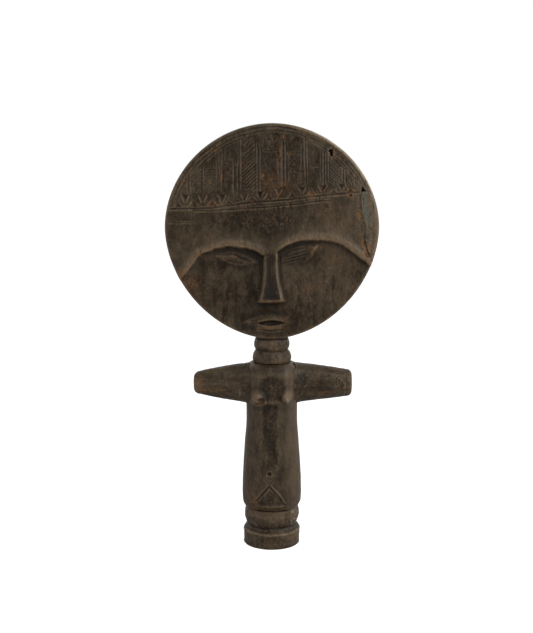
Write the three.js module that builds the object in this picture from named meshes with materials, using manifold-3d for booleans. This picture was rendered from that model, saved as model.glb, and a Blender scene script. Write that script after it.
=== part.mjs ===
// Akuaba: a standing figure carved in dark wood. A flat round head leans back on a ringed neck,
// short arms are pegged into a columnar body, and the body stands on a bead and a round foot.
// Sizes are in millimetres. X runs to the viewer's right, -Y to the front and Z up, and the
// origin is the centre of the face that the figure stands on.
import * as THREE from "three";
import { mergeVertices } from "three/addons/utils/BufferGeometryUtils.js";
import Module from "manifold-3d";

const wasm = await Module();
wasm.setup();

// Foot and waist bead
const footRadius = 22.1;
const footHeight = 16.3;
const footWallHeight = 12.5;
const footTopRadius = 19.4;
const beadHeight = 13.7;
const beadRadius = 21.1;
const beadBulgeHeight = 6.5;
const beadTopRadius = 19.5;

// Torso: half-widths seen from the front, heights above its lower face, drops below its top
const torsoHeight = 116.7;
const hemRadius = 22.8;
const hemBevel = 4.2;
const hipRadius = 23.2;
const hipHeight = 12;
const hipDepth = 41;
const chestRadius = 19.8;
const chestDrop = 46;
const taperPower = 1.4;
const torsoTopRadius = 14.1;
const shoulderRounding = 4.7;
const torsoSquareness = 2.5;

// Raised chest, breasts and the line around the neck, which is given across and as drops
const bibWidth = 35;
const bibRelief = 2;
const bibEdgeDrop = 31;
const breastSpacing = 23;
const breastDrop = 24.5;
const breastRadius = 6.4;
const breastLength = 4.4;
const breastMiddleRadius = 4.2;
const breastMiddleLength = 2.7;
const breastTipRadius = 1.3;
const breastDroop = 14;
const neckline = [
  new THREE.Vector2(-11.4, 16.1),
  new THREE.Vector2(-8.4, 10.7),
  new THREE.Vector2(0, 7.6),
  new THREE.Vector2(8.4, 11.2),
  new THREE.Vector2(10.8, 16.1),
];
const necklineWidth = 2.6;
const necklineDepth = 0.8;

// Scars, navel and crossed lines below the chest: places across and up from the torso's lower face
const scarsFoot = new THREE.Vector2(-1.3, 38.5);
const scarsTop = -1.8;
const scarsWidth = 11.6;
const scarsDepth = 0.7;
const scarPitch = 9.2;
const scarHalfWidth = 3.4;
const scarRise = 4.2;
const scarCut = 0.8;
const navel = new THREE.Vector2(-2, 30.9);
const navelRadius = 4;
const navelRelief = 0.7;
const navelHoleRadius = 1.7;
const navelDepth = 1.7;
const navelArch = [
  new THREE.Vector2(-6.9, 33.3),
  new THREE.Vector2(-4.8, 37),
  new THREE.Vector2(-1.4, 38.2),
  new THREE.Vector2(2.2, 36.6),
  new THREE.Vector2(4, 32.4),
];
const crossedLines = [
  [new THREE.Vector2(-5.6, 27.2), new THREE.Vector2(-1.4, 22.6), new THREE.Vector2(11.8, 6.4)],
  [new THREE.Vector2(2.6, 27.4), new THREE.Vector2(-1.6, 22.5), new THREE.Vector2(-11.6, 9.6)],
];
const bodyLineWidth = 1.7;
const bodyLineDepth = 0.8;

// Arms: reach from the figure's centre line, half-heights where they leave it and at the tip
const armDrop = 17.3;
const armRootHalfHeight = 15.9;
const armDepth = 22;
const armEdge = 3;
const armTaperPower = 1.7;
const leftArmReach = 61;
const leftArmTipHalfHeight = 9.2;
const rightArmReach = 62.4;
const rightArmTipHalfHeight = 10.6;
const tenonRadius = 6;
const tenonLength = 13.5;
const tenonClearance = 0.3;
const socketEndClearance = 0.5;

// Neck rings
const lowerRingHeight = 9.5;
const lowerRingRadius = 15.1;
const lowerRingBulgeHeight = 4;
const grooveRadius = 12.5;
const upperRingHeight = 9;
const upperRingRadius = 13.8;
const upperRingBulgeHeight = 5;
const neckTopRadius = 12.8;
const neckDepth = 27;

// Head: a disc whose plane leans back, a little less full than an ellipse
const headHalfWidth = 81.6;
const crownRise = 78.7;
const crownPower = 1.95;
const chinDrop = 85.2;
const chinPower = 1.86;
const headLean = 6;
const headForward = 1.2;
const chinClearance = 1;
const frontRise = 7.6;
const frontCrown = 2;
const backRise = 9;
const backCrown = 2.6;
const rimRounding = 2.4;
const napeThickness = 13;
const napeHalfWidth = 15;
const napeHeight = 42;
const stubRadius = 12.4;
const stubTopRadius = 7;
const stubHeight = 13;

// Brows, measured like the rest of the face in the plane of the head from the head's centre
const browRoot = new THREE.Vector2(-1.5, -22);
const leftBrow = { peak: new THREE.Vector2(-30, -14.4), end: new THREE.Vector2(-71, -41), power: 2.5 };
const rightBrow = { peak: new THREE.Vector2(31, -9.4), end: new THREE.Vector2(76, -30.5), power: 2.2 };
const browRidge = 1.4;
const browWidth = 7;
const browSetback = 2.3;
const faceRecess = 4.2;

// Nose
const noseTop = -18;
const noseTip = -56.8;
const noseRootHalfWidth = 4.8;
const noseTipHalfWidth = 9.4;
const noseRise = 12.6;
const noseFlank = 1.6;

// Eyes and mouth: almonds with a middle, half-sizes and a turn in degrees
const leftEye = { middle: new THREE.Vector2(-27.2, -24.3), halfLength: 16.6, halfHeight: 5.6, turn: -9.5 };
const rightEye = { middle: new THREE.Vector2(21.4, -19.2), halfLength: 14.4, halfHeight: 6, turn: 21.7 };
const eyeRelief = 2;
const lips = { middle: new THREE.Vector2(-2, -72.2), halfLength: 20, halfHeight: 5.6, turn: 2 };
const lipRelief = 2.4;
const mouthSlot = { middle: new THREE.Vector2(0.8, -72.8), halfLength: 8.5, halfHeight: 1.7, turn: 3 };
const mouthDepth = 1.6;

// Crown carving: a band across, teeth above it, upright lines over them and a border along the rim
const crownBand = [
  new THREE.Vector2(-79, 13.9),
  new THREE.Vector2(-38, 15.5),
  new THREE.Vector2(2.3, 19),
  new THREE.Vector2(32.5, 23.4),
  new THREE.Vector2(66, 26.8),
];
const crownUprights = [-62, -52, -39, -24.4, -10.5, 8.2, 26, 39.8, 53.8];
const hangingTeeth = [-66, -52.6, -38, -21, -8.5, 4.8, 22.6, 38.2, 52.6];
const standingTeeth = [-71.2, -59.2, -45.4, -32.8, -15, -2.8, 15, 29.6, 46.3, 59.2];
const crownLineWidth = 1.7;
const crownLineDepth = 0.7;
const uprightInset = 10;
const uprightStart = 8.6;
const borderInset = 3.6;
const borderFrom = 32;
const borderTo = 168;
const toothHalfWidth = 3.3;
const hangingToothLow = 4.1;
const hangingToothRise = 5.6;
const standingToothLow = 0.8;
const standingToothRise = 4.4;
const toothDepth = 1.3;
const hatchMiddle = -17.6;
const hatchHalfWidth = 4.6;
const hatchRise = 9.6;
const hatchPitch = 7.2;

// Mended rim: where the sliver at the viewer's right split off, as distances out from the rim and heights
const splitEdge = [
  new THREE.Vector2(6.7, 43),
  new THREE.Vector2(-6.5, 30),
  new THREE.Vector2(-11, 22),
  new THREE.Vector2(-12.4, 11),
  new THREE.Vector2(-10.6, 1),
  new THREE.Vector2(-10.3, -9),
  new THREE.Vector2(-6.1, -18),
  new THREE.Vector2(0.1, -27),
  new THREE.Vector2(9.7, -36),
];
const splitGap = 0.4;

// Gap between faces that are shaped to one another
const hairline = 0.3;

// How far the form of a line reaches out of the face that it is cut into, how much of its depth it has
// at its ends, and how much larger the form of a chip is than the cut that it leaves in the face
const clearance = 1.2;
const lineEndDepth = 0.4;
const chipOvercut = 1.25;

// Mesh fineness
const roundSides = 40;
const slimSides = 32;
const bulgeSteps = 8;
const taperSteps = 10;
const cornerSteps = 4;
const headSpokes = 96;
const browSteps = 22;
const ridgeSegments = 5;
const almondSides = 28;
const almondRings = 8;
const splitSteps = 5;
const grooveSteps = 3;
const borderSteps = 12;

// Heights of the stacked pieces
const beadBase = footHeight;
const torsoBase = beadBase + beadHeight;
const neckBase = torsoBase + torsoHeight;
const upperRingBase = neckBase + lowerRingHeight;
const neckTop = upperRingBase + upperRingHeight;
const headSeat = neckTop + hairline;

const radians = THREE.MathUtils.degToRad;
const smooth = THREE.MathUtils.smoothstep;
const mix = THREE.MathUtils.lerp;

// Solids and geometries

function solidFrom(geometry) {
  const bare = geometry.clone();
  bare.deleteAttribute("normal");
  bare.deleteAttribute("uv");
  const merged = mergeVertices(bare);
  return new wasm.Manifold(
    new wasm.Mesh({
      numProp: 3,
      vertProperties: merged.getAttribute("position").array,
      triVerts: new Uint32Array(merged.index.array),
    }),
  );
}

function geometryFrom(solid) {
  const { vertProperties, triVerts } = solid.getMesh();
  const geometry = new THREE.BufferGeometry();
  geometry.setAttribute("position", new THREE.BufferAttribute(vertProperties, 3));
  geometry.setIndex(new THREE.BufferAttribute(triVerts, 1));
  geometry.computeVertexNormals();
  return geometry;
}

// Lets a function move each vertex of a geometry
function reshape(geometry, move) {
  const position = geometry.getAttribute("position");
  const point = new THREE.Vector3();
  for (let i = 0; i < position.count; i += 1) {
    move(point.fromBufferAttribute(position, i));
    position.setXYZ(i, point.x, point.y, point.z);
  }
  return geometry;
}

function at(radius, height) {
  return new THREE.Vector2(radius, height);
}

// A turned form that stands on Z, closed with flat faces where its outline starts and ends
function turned(outline, sides = roundSides) {
  const first = outline[0];
  const last = outline[outline.length - 1];
  const profile = [at(0, first.y), ...outline, at(0, last.y)];
  return new THREE.LatheGeometry(profile, sides).rotateX(Math.PI / 2);
}

function bulge(points) {
  return new THREE.SplineCurve(points).getPoints(bulgeSteps);
}

// A quarter of an ellipse about a corner's centre, from one angle to another in degrees
function corner(middle, halfWidth, halfHeight, from, to) {
  const points = [];
  for (let i = 0; i <= cornerSteps; i += 1) {
    const angle = radians(mix(from, to, i / cornerSteps));
    points.push(at(middle.x + halfWidth * Math.cos(angle), middle.y + halfHeight * Math.sin(angle)));
  }
  return points;
}

// Cuts into a front face that lies at a height over places across and up

// A line that a knife leaves: V-shaped, or with a flat floor, and shallower at its ends
function grooveForm(points, width, depth, face, floor = 0) {
  const line = new THREE.SplineCurve(points);
  const bottom = floor ? [at(-floor / 2, -depth), at(floor / 2, -depth)] : [at(0, -depth)];
  const spread = floor / 2 + ((width - floor) / 2) * (1 + clearance / depth);
  const section = new THREE.Shape([...bottom, at(spread, clearance), at(-spread, clearance)]);
  const steps = grooveSteps * (points.length - 1);
  const bar = new THREE.ExtrudeGeometry(section, { depth: 1, steps, bevelEnabled: false });
  return reshape(bar, (point) => {
    const place = line.getPoint(point.z);
    const tangent = line.getTangent(point.z);
    const ends = Math.min(1, lineEndDepth + steps * Math.min(point.z, 1 - point.z));
    const x = place.x - tangent.y * point.x * (floor ? 1 : ends);
    const y = place.y + tangent.x * point.x * (floor ? 1 : ends);
    point.set(x, y, face(x, y) + (point.y < 0 ? point.y * ends : point.y));
  });
}

// A tooth: a chip with three sides, which stands from its lower edge or hangs from its upper one
function toothForm(x, low, rise, halfWidth, depth, hanging, face) {
  const chip = new THREE.ConeGeometry(1, 1, 3).rotateX(-Math.PI / 2);
  if (hanging) chip.rotateZ(Math.PI);
  const middle = low + (rise * (hanging ? 2 : 1)) / 3;
  return chip
    .scale(halfWidth / Math.cos(Math.PI / 6), rise / 1.5, depth)
    .scale(chipOvercut, chipOvercut, chipOvercut)
    .translate(x, middle, face(x, middle) - depth * (1 - chipOvercut / 2));
}

function cutAway(solid, cutters) {
  return cutters.reduce((rest, cutter) => rest.subtract(solidFrom(cutter)), solid);
}

// Foot and bead

function footForm() {
  const slope = footHeight - footWallHeight;
  return turned([
    at(footRadius, 0),
    at(footRadius, footWallHeight),
    at(footRadius - slope / 2, footWallHeight + slope / 2),
    at(footTopRadius, footHeight),
  ]);
}

function beadForm() {
  const outline = [at(footTopRadius, 0), at(beadRadius, beadBulgeHeight), at(beadTopRadius, beadHeight)];
  return turned(bulge(outline));
}

// Torso

// The side of the body, stood off from its surface by an extra thickness
function torsoOutline(extra) {
  const hem = [at(hemRadius - hemBevel, -extra), at(hemRadius + extra, hemBevel)];
  const taper = [];
  const chestHeight = torsoHeight - chestDrop;
  for (let i = 0; i <= taperSteps; i += 1) {
    const share = i / taperSteps;
    const radius = mix(hipRadius, chestRadius, share ** taperPower);
    taper.push(at(radius + extra, mix(hipHeight, chestHeight, share)));
  }
  const shoulder = corner(
    at(torsoTopRadius, torsoHeight - shoulderRounding),
    chestRadius - torsoTopRadius + extra,
    shoulderRounding + extra,
    0,
    90,
  );
  return [...hem, ...taper, ...shoulder];
}

// Turns a round section into a squarer one that is shallower than it is wide
function squareOff(point) {
  const radius = Math.hypot(point.x, point.y);
  if (radius === 0) return;
  const across = Math.abs(point.x / radius) ** torsoSquareness;
  const away = Math.abs(point.y / radius) ** torsoSquareness;
  const fullness = (across + away) ** (-1 / torsoSquareness);
  point.x *= fullness;
  point.y *= (fullness * hipDepth) / (2 * hipRadius);
}

function torsoBlock(extra) {
  const body = solidFrom(reshape(turned(torsoOutline(extra)), squareOff));
  const grown = solidFrom(reshape(turned(torsoOutline(extra + bibRelief)), squareOff));
  const bibHeight = bibEdgeDrop - shoulderRounding + 2 * extra;
  const bibMiddle = torsoHeight - shoulderRounding + extra - bibHeight / 2;
  const front = new THREE.BoxGeometry(bibWidth + 2 * extra, hipDepth, bibHeight)
    .translate(0, -hipDepth / 2, bibMiddle);
  return body.add(grown.intersect(solidFrom(front)));
}

// How far in front of its middle plane the body lies, at a place across and up
function torsoFront(x, y) {
  const taper = THREE.MathUtils.clamp((y - hipHeight) / (torsoHeight - chestDrop - hipHeight), 0, 1);
  const raised = y > torsoHeight - bibEdgeDrop && Math.abs(x) < bibWidth / 2;
  const radius = mix(hipRadius, chestRadius, taper ** taperPower) + (raised ? bibRelief : 0);
  const fullness = (1 - Math.min(Math.abs(x / radius), 1) ** torsoSquareness) ** (1 / torsoSquareness);
  return (radius * fullness * hipDepth) / (2 * hipRadius);
}

function breastForm(side) {
  const chestFront = (chestRadius * hipDepth) / (2 * hipRadius) + bibRelief;
  const cone = turned([
    at(breastRadius, -breastLength),
    at(breastRadius, 0),
    at(breastMiddleRadius, breastMiddleLength),
    at(breastTipRadius, breastLength),
  ], roundSides / 2);
  return cone
    .rotateX(Math.PI / 2 + radians(breastDroop))
    .translate((side * breastSpacing) / 2, -chestFront, torsoHeight - breastDrop);
}

// A round bar along X, from one distance off the centre line to another
function barToSide(side, radius, from, to) {
  return new THREE.CylinderGeometry(radius, radius, to - from, slimSides)
    .rotateZ(Math.PI / 2)
    .translate((side * (from + to)) / 2, 0, torsoHeight - armDrop);
}

// The raised ring round the navel
function navelForm() {
  return turned([
    at(navelRadius, -navelDepth),
    at(navelRadius, 0),
    at((navelRadius + navelHoleRadius) / 2, navelRelief),
    at(navelHoleRadius, navelRelief),
  ], slimSides / 2).translate(navel.x, navel.y, torsoFront(navel.x, navel.y));
}

// What is cut into the body's front
function bodyCutters() {
  const scarsHead = at(scarsTop, torsoHeight - bibEdgeDrop);
  const cutters = [
    grooveForm([scarsFoot, scarsHead], scarsWidth, scarsDepth, torsoFront, scarsWidth - 2 * scarsDepth),
    grooveForm(navelArch, bodyLineWidth, bodyLineDepth, torsoFront),
    grooveForm(
      neckline.map((point) => at(point.x, torsoHeight - point.y)), necklineWidth, necklineDepth, torsoFront,
    ),
    ...crossedLines.map((points) => grooveForm(points, bodyLineWidth, bodyLineDepth, torsoFront)),
    turned([at(navelHoleRadius / 4, -navelDepth), at(navelHoleRadius, navelDepth)], slimSides / 2)
      .translate(navel.x, navel.y, torsoFront(navel.x, navel.y)),
  ];
  const scarFloor = (x, y) => torsoFront(x, y) - scarsDepth;
  for (let y = scarsFoot.y + scarRise / 2; y < scarsHead.y - scarRise; y += scarPitch) {
    cutters.push(toothForm(scarsFoot.x, y, scarRise, scarHalfWidth, scarCut, true, scarFloor));
  }
  return cutters.map((cutter) => cutter.rotateX(Math.PI / 2));
}

function torsoSolid() {
  let solid = torsoBlock(0).add(solidFrom(navelForm().rotateX(Math.PI / 2)));
  for (const side of [-1, 1]) {
    const floor = chestRadius - tenonLength - socketEndClearance;
    const socket = barToSide(side, tenonRadius + tenonClearance, floor, 2 * chestRadius);
    solid = solid.add(solidFrom(breastForm(side))).subtract(solidFrom(socket));
  }
  return cutAway(solid, bodyCutters());
}

// Arms

function armForm(side, reach, tipHalfHeight) {
  const outline = [];
  for (let i = 0; i <= taperSteps; i += 1) {
    const share = i / taperSteps;
    const halfHeight = mix(armRootHalfHeight, tipHalfHeight, share ** armTaperPower);
    outline.push(at(halfHeight, share * (reach - armEdge)));
  }
  outline.push(...corner(at(tipHalfHeight - armEdge, reach - armEdge), armEdge, armEdge, 0, 90).slice(1));
  return reshape(turned(outline, slimSides), (point) => {
    point.y *= armDepth / (2 * armRootHalfHeight);
  })
    .rotateY((side * Math.PI) / 2)
    .translate(0, 0, torsoHeight - armDrop);
}

function armSolid(side, reach, tipHalfHeight) {
  const tenon = barToSide(side, tenonRadius, chestRadius - tenonLength, chestRadius + armEdge);
  return solidFrom(armForm(side, reach, tipHalfHeight))
    .subtract(torsoBlock(hairline))
    .add(solidFrom(tenon));
}

// Neck

// A turned form as deep as the neck, for the rings and the stub that carries the head
function neckForm(outline) {
  return reshape(turned(outline), (point) => {
    point.y *= neckDepth / (2 * lowerRingRadius);
  });
}

function lowerRingForm() {
  const middle = at(lowerRingRadius, lowerRingBulgeHeight);
  return neckForm(bulge([at(torsoTopRadius, 0), middle, at(grooveRadius, lowerRingHeight)]));
}

function upperRingForm() {
  const middle = at(upperRingRadius, upperRingBulgeHeight);
  return neckForm(bulge([at(grooveRadius, 0), middle, at(neckTopRadius, upperRingHeight)]));
}

// Head, in the plane of the disc: X across, Y up along the disc and Z out of its front

// Distance from the head's centre to its rim, in the direction of a point
function rimReach(x, y) {
  const radius = Math.hypot(x, y) || 1;
  const across = Math.abs(x / radius) / headHalfWidth;
  const along = y / radius;
  if (along >= 0) return (across ** crownPower + (along / crownRise) ** crownPower) ** (-1 / crownPower);
  return (across ** chinPower + (-along / chinDrop) ** chinPower) ** (-1 / chinPower);
}

// Half of the head's width at a height above or below its centre
function rimHalfWidth(y) {
  if (y >= 0) return headHalfWidth * (1 - (y / crownRise) ** crownPower) ** (1 / crownPower);
  return headHalfWidth * (1 - (-y / chinDrop) ** chinPower) ** (1 / chinPower);
}

// How much the rounding of the rim takes off a face
function rimLoss(inside) {
  if (inside >= rimRounding) return 0;
  return rimRounding - Math.sqrt(rimRounding ** 2 - (rimRounding - Math.max(inside, 0)) ** 2);
}

function discFront(x, y) {
  const radius = Math.hypot(x, y);
  const reach = rimReach(x, y);
  return frontRise - frontCrown * (radius / reach) ** 2 - rimLoss(reach - radius);
}

function discBack(x, y) {
  const radius = Math.hypot(x, y);
  const reach = rimReach(x, y);
  const middle = Math.exp(-((x / napeHalfWidth) ** 2));
  const nape = napeThickness * middle * smooth(-y, chinDrop - napeHeight, chinDrop);
  return rimLoss(reach - radius) + backCrown * (radius / reach) ** 2 - backRise - nape;
}

// The disc, from rings that are closer together where the rim rounds off
function discForm() {
  const shares = [0.2, 0.4, 0.6, 0.75, 0.86, 0.93, 0.97, 0.985, 0.995, 1];
  const rings = [...shares.map((share) => at(share, -1)), ...shares.reverse().map((share) => at(share, 1))];
  return reshape(turned(rings, headSpokes), (point) => {
    const reach = rimReach(point.x, point.y);
    const front = point.z > 0;
    point.x *= reach;
    point.y *= reach;
    point.z = front ? discFront(point.x, point.y) : discBack(point.x, point.y);
  });
}

// A point on the lower edge of a brow, at a place across the face
function browEdge(brow, x) {
  const pastPeak = Math.abs(x) > Math.abs(brow.peak.x);
  const far = pastPeak ? brow.end : browRoot;
  const share = Math.abs((x - brow.peak.x) / (far.x - brow.peak.x));
  return at(x, brow.peak.y - (brow.peak.y - far.y) * share ** (pastPeak ? brow.power : 2));
}

// Points on a brow's lower edge, from the root of the nose or short of it to past the rim
function browEdgePoints(brow, overlap) {
  const outward = Math.sign(brow.end.x);
  const from = browRoot.x - outward * overlap;
  const past = brow.end.x + outward * browWidth;
  const points = [];
  for (let i = 0; i <= browSteps; i += 1) points.push(browEdge(brow, mix(from, past, i / browSteps)));
  return points;
}

// Everything below the brows, down to the floor that the face is carved to
function faceCutter() {
  const below = -2 * chinDrop;
  const outline = [...browEdgePoints(leftBrow, 0).reverse(), ...browEdgePoints(rightBrow, 0).slice(1)];
  const last = outline[outline.length - 1];
  outline.push(at(headHalfWidth + browWidth, last.y), at(headHalfWidth + browWidth, below));
  outline.push(at(-headHalfWidth - browWidth, below), at(-headHalfWidth - browWidth, outline[0].y));
  const depth = 2 * noseRise;
  return new THREE.ExtrudeGeometry(new THREE.Shape(outline), { depth, bevelEnabled: false })
    .translate(0, 0, frontRise - faceRecess);
}

// The ridge over a brow: a round bar bent along it, flattened and laid on the disc
function browRidgeForm(brow) {
  const half = browWidth / 2;
  const section = new THREE.Shape().absarc(0, 0, half, 0, 2 * Math.PI);
  const edge = new THREE.SplineCurve(browEdgePoints(brow, half));
  const route = [];
  for (let i = 0; i <= browSteps; i += 1) {
    const tangent = edge.getTangent(i / browSteps);
    const upward = at(-tangent.y, tangent.x).multiplyScalar(browSetback * Math.sign(tangent.x));
    const place = edge.getPoint(i / browSteps).add(upward);
    route.push(new THREE.Vector3(place.x, place.y, 0));
  }
  const bar = new THREE.ExtrudeGeometry(section, {
    steps: 2 * browSteps,
    curveSegments: ridgeSegments,
    extrudePath: new THREE.CatmullRomCurve3(route),
    bevelEnabled: false,
  });
  return reshape(bar, (point) => {
    point.z = (point.z * browRidge) / half + discFront(point.x, point.y);
  });
}

// A wall a little inside the rim, which keeps the ridges within the head's outline
function rimForm() {
  const height = 2 * noseRise;
  return reshape(turned([at(1, -height), at(1, height)], headSpokes), (point) => {
    const reach = rimReach(point.x, point.y) - hairline;
    point.x *= reach;
    point.y *= reach;
  });
}

// The nose: a wedge seen from the side, flared from root to tip and narrower at its front
function noseForm() {
  const floor = frontRise - faceRecess - noseFlank;
  const outline = [at(noseTip, floor), at(noseTop, floor)];
  for (let i = 0; i <= taperSteps; i += 1) {
    const share = i / taperSteps;
    outline.push(at(mix(noseTop, noseTip, share), mix(frontRise, noseRise, share)));
  }
  const wedge = new THREE.ExtrudeGeometry(new THREE.Shape(outline), { depth: 2, bevelEnabled: false });
  return reshape(wedge.translate(0, 0, -1), (point) => {
    const share = (noseTop - point.x) / (noseTop - noseTip);
    const halfWidth = mix(noseRootHalfWidth, noseTipHalfWidth, share ** 2);
    const flank = point.y > floor ? 0 : noseFlank;
    point.set(point.z * (halfWidth + flank), point.x, point.y);
  });
}

// A lens with pointed ends, bedded a hairline into the floor of the face, standing out by its relief
function almondForm({ middle, halfLength, halfHeight, turn }, relief) {
  const lens = new THREE.SphereGeometry(1, almondSides, almondRings).rotateX(Math.PI / 2);
  return reshape(lens, (point) => {
    const pinch = Math.sqrt(Math.max(1 - point.x ** 2, 0));
    point.set(point.x * halfLength, point.y * pinch * halfHeight, point.z * (relief + hairline));
  })
    .rotateZ(radians(turn))
    .translate(middle.x, middle.y, frontRise - faceRecess - hairline);
}

// Height of the carved band at a place across the crown
function bandHeight(x) {
  const next = crownBand.findIndex((point) => point.x > x);
  if (next < 1) return crownBand.at(next).y;
  const from = crownBand[next - 1];
  const to = crownBand[next];
  return mix(from.y, to.y, (x - from.x) / (to.x - from.x));
}

// The border line, a little inside the rim
function borderLine() {
  const points = [];
  for (let i = 0; i <= borderSteps; i += 1) {
    const angle = radians(mix(borderFrom, borderTo, i / borderSteps));
    const reach = rimReach(Math.cos(angle), Math.sin(angle)) - borderInset;
    points.push(at(reach * Math.cos(angle), reach * Math.sin(angle)));
  }
  return points;
}

// An upright line, from over the teeth to a little short of the rim
function uprightLine(x) {
  const crownHeight = crownRise * (1 - Math.abs(x / headHalfWidth) ** crownPower) ** (1 / crownPower);
  return [at(x, bandHeight(x) + uprightStart), at(x, crownHeight - uprightInset)];
}

// What is cut into the crown
function crownCutters() {
  const lines = [crownBand, borderLine(), ...crownUprights.map(uprightLine)];
  const [hatchStart, hatchEnd] = uprightLine(hatchMiddle);
  for (let y = hatchStart.y; y < hatchEnd.y - hatchRise; y += hatchPitch) {
    lines.push([at(hatchMiddle - hatchHalfWidth, y), at(hatchMiddle + hatchHalfWidth, y + hatchRise)]);
  }
  const hanging = hangingTeeth.map((x) => toothForm(
    x, bandHeight(x) + hangingToothLow, hangingToothRise, toothHalfWidth, toothDepth, true, discFront,
  ));
  const standing = standingTeeth.map((x) => toothForm(
    x, bandHeight(x) + standingToothLow, standingToothRise, toothHalfWidth, toothDepth, false, discFront,
  ));
  return [
    ...lines.map((points) => grooveForm(points, crownLineWidth, crownLineDepth, discFront)),
    ...hanging,
    ...standing,
  ];
}

// The far side of the split, moved aside by half of its gap
function splitCutter(shift) {
  const outer = 2 * headHalfWidth;
  const edge = splitEdge.map((point) => at(rimHalfWidth(point.y) + point.x, point.y));
  const shape = new THREE.Shape([edge[0]]);
  shape.splineThru(edge.slice(1));
  shape.lineTo(outer, edge[edge.length - 1].y);
  shape.lineTo(outer, edge[0].y);
  const depth = 4 * (frontRise + backRise);
  const settings = { depth, bevelEnabled: false, curveSegments: splitSteps };
  return new THREE.ExtrudeGeometry(shape, settings).translate(shift, 0, -depth / 2);
}

// The flat that the head stands on and the stub above it, in the frame of the head
function stubForm(headFrame) {
  return neckForm([at(stubRadius, 0), at(stubTopRadius, stubHeight)])
    .translate(0, 0, headSeat)
    .applyMatrix4(headFrame.clone().invert());
}

function seatCutter(headFrame) {
  return new THREE.BoxGeometry(4 * stubRadius, 4 * stubRadius, chinDrop)
    .translate(0, 0, headSeat - chinDrop / 2)
    .applyMatrix4(headFrame.clone().invert());
}

// The head in one piece, before the rim split off
function headSolid(headFrame) {
  const ridges = solidFrom(browRidgeForm(leftBrow)).add(solidFrom(browRidgeForm(rightBrow)));
  return cutAway(solidFrom(discForm()), crownCutters())
    .add(ridges.intersect(solidFrom(rimForm())))
    .subtract(solidFrom(faceCutter()))
    .add(solidFrom(noseForm()))
    .add(solidFrom(almondForm(leftEye, eyeRelief)))
    .add(solidFrom(almondForm(rightEye, eyeRelief)))
    .add(solidFrom(almondForm(lips, lipRelief)))
    .subtract(solidFrom(almondForm(mouthSlot, mouthDepth + lipRelief)))
    .add(solidFrom(stubForm(headFrame)))
    .subtract(solidFrom(seatCutter(headFrame)));
}

// Finishes

function wood(color, roughness) {
  return new THREE.MeshStandardMaterial({ color, roughness, metalness: 0 });
}

function piece(name, geometry, material, height = 0) {
  const mesh = new THREE.Mesh(geometry, material);
  mesh.name = name;
  mesh.position.z = height;
  return mesh;
}

// Assembly

const figure = new THREE.Group();
figure.add(piece("foot", footForm(), wood(0x3c322a, 0.62)));
figure.add(piece("waist_bead", beadForm(), wood(0x40352c, 0.6), beadBase));

const body = new THREE.Group();
body.position.z = torsoBase;
const leftArm = armSolid(-1, leftArmReach, leftArmTipHalfHeight);
const rightArm = armSolid(1, rightArmReach, rightArmTipHalfHeight);
body.add(piece("torso", geometryFrom(torsoSolid()), wood(0x3b3129, 0.6)));
body.add(piece("arm_left", geometryFrom(leftArm), wood(0x44362a, 0.64)));
body.add(piece("arm_right", geometryFrom(rightArm), wood(0x3f352c, 0.62)));
figure.add(body);

figure.add(piece("neck_ring_lower", lowerRingForm(), wood(0x42372e, 0.6), neckBase));
figure.add(piece("neck_ring_upper", upperRingForm(), wood(0x42372e, 0.6), upperRingBase));

const head = new THREE.Group();
const lean = radians(headLean);
head.position.set(0, -headForward, headSeat + chinClearance + chinDrop * Math.cos(lean));
head.rotation.x = Math.PI / 2 - lean;
head.updateMatrix();
const wholeHead = headSolid(head.matrix);
const headPart = wholeHead.subtract(solidFrom(splitCutter(-splitGap / 2)));
const mendPart = wholeHead.intersect(solidFrom(splitCutter(splitGap / 2)));
head.add(piece("head", geometryFrom(headPart), wood(0x3a3028, 0.58)));
head.add(piece("mended_rim", geometryFrom(mendPart), wood(0x474a48, 0.5)));
figure.add(head);

export default figure;
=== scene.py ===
"""Akuaba: a standing figure carved in dark wood, with a flat round head that leans back.

Every carved surface starts from a height map, in millimetres, which gouges, knives and
chisels cut into. The map then moves the points of a closed mesh. X runs to the viewer's
right, -Y to the front and Z up, from the centre of the face that the figure stands on.
"""

import math

import bpy
import numpy as np
from bpy.props import FloatProperty, FloatVectorProperty, PointerProperty
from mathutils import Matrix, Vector


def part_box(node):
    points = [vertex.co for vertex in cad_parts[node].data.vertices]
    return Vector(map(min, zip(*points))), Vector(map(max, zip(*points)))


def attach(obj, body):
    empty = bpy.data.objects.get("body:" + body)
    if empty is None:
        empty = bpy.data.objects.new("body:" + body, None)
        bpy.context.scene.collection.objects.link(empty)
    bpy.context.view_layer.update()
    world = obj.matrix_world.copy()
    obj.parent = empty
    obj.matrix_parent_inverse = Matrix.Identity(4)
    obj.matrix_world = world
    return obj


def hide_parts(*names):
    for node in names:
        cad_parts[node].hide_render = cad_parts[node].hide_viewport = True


bl_info = {
    "name": "Carved akuaba figure",
    "version": (1, 0, 0),
    "blender": (4, 5, 0),
    "location": "3D View > Sidebar > Akuaba",
    "description": "Carves and stains the figure's wooden pieces and sets them on a pale stage",
    "category": "Add Mesh",
}

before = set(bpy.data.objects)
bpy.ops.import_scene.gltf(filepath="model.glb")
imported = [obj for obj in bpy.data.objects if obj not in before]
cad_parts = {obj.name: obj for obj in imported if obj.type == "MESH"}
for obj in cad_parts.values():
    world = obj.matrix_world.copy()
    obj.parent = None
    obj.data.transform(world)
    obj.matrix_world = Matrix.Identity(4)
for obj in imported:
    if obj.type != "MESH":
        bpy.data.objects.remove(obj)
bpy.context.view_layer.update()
MM = 0.001
ROUGH_OUT = 1.0
FINE_CELL, CELL, BROAD_CELL = (size * min(ROUGH_OUT, 1.5) for size in (0.2, 0.25, 0.4))


def box_mm(node):
    """Lowest and highest corner of a CAD node, in millimetres."""
    low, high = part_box(node)
    return np.array(low) / MM, np.array(high) / MM


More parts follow.
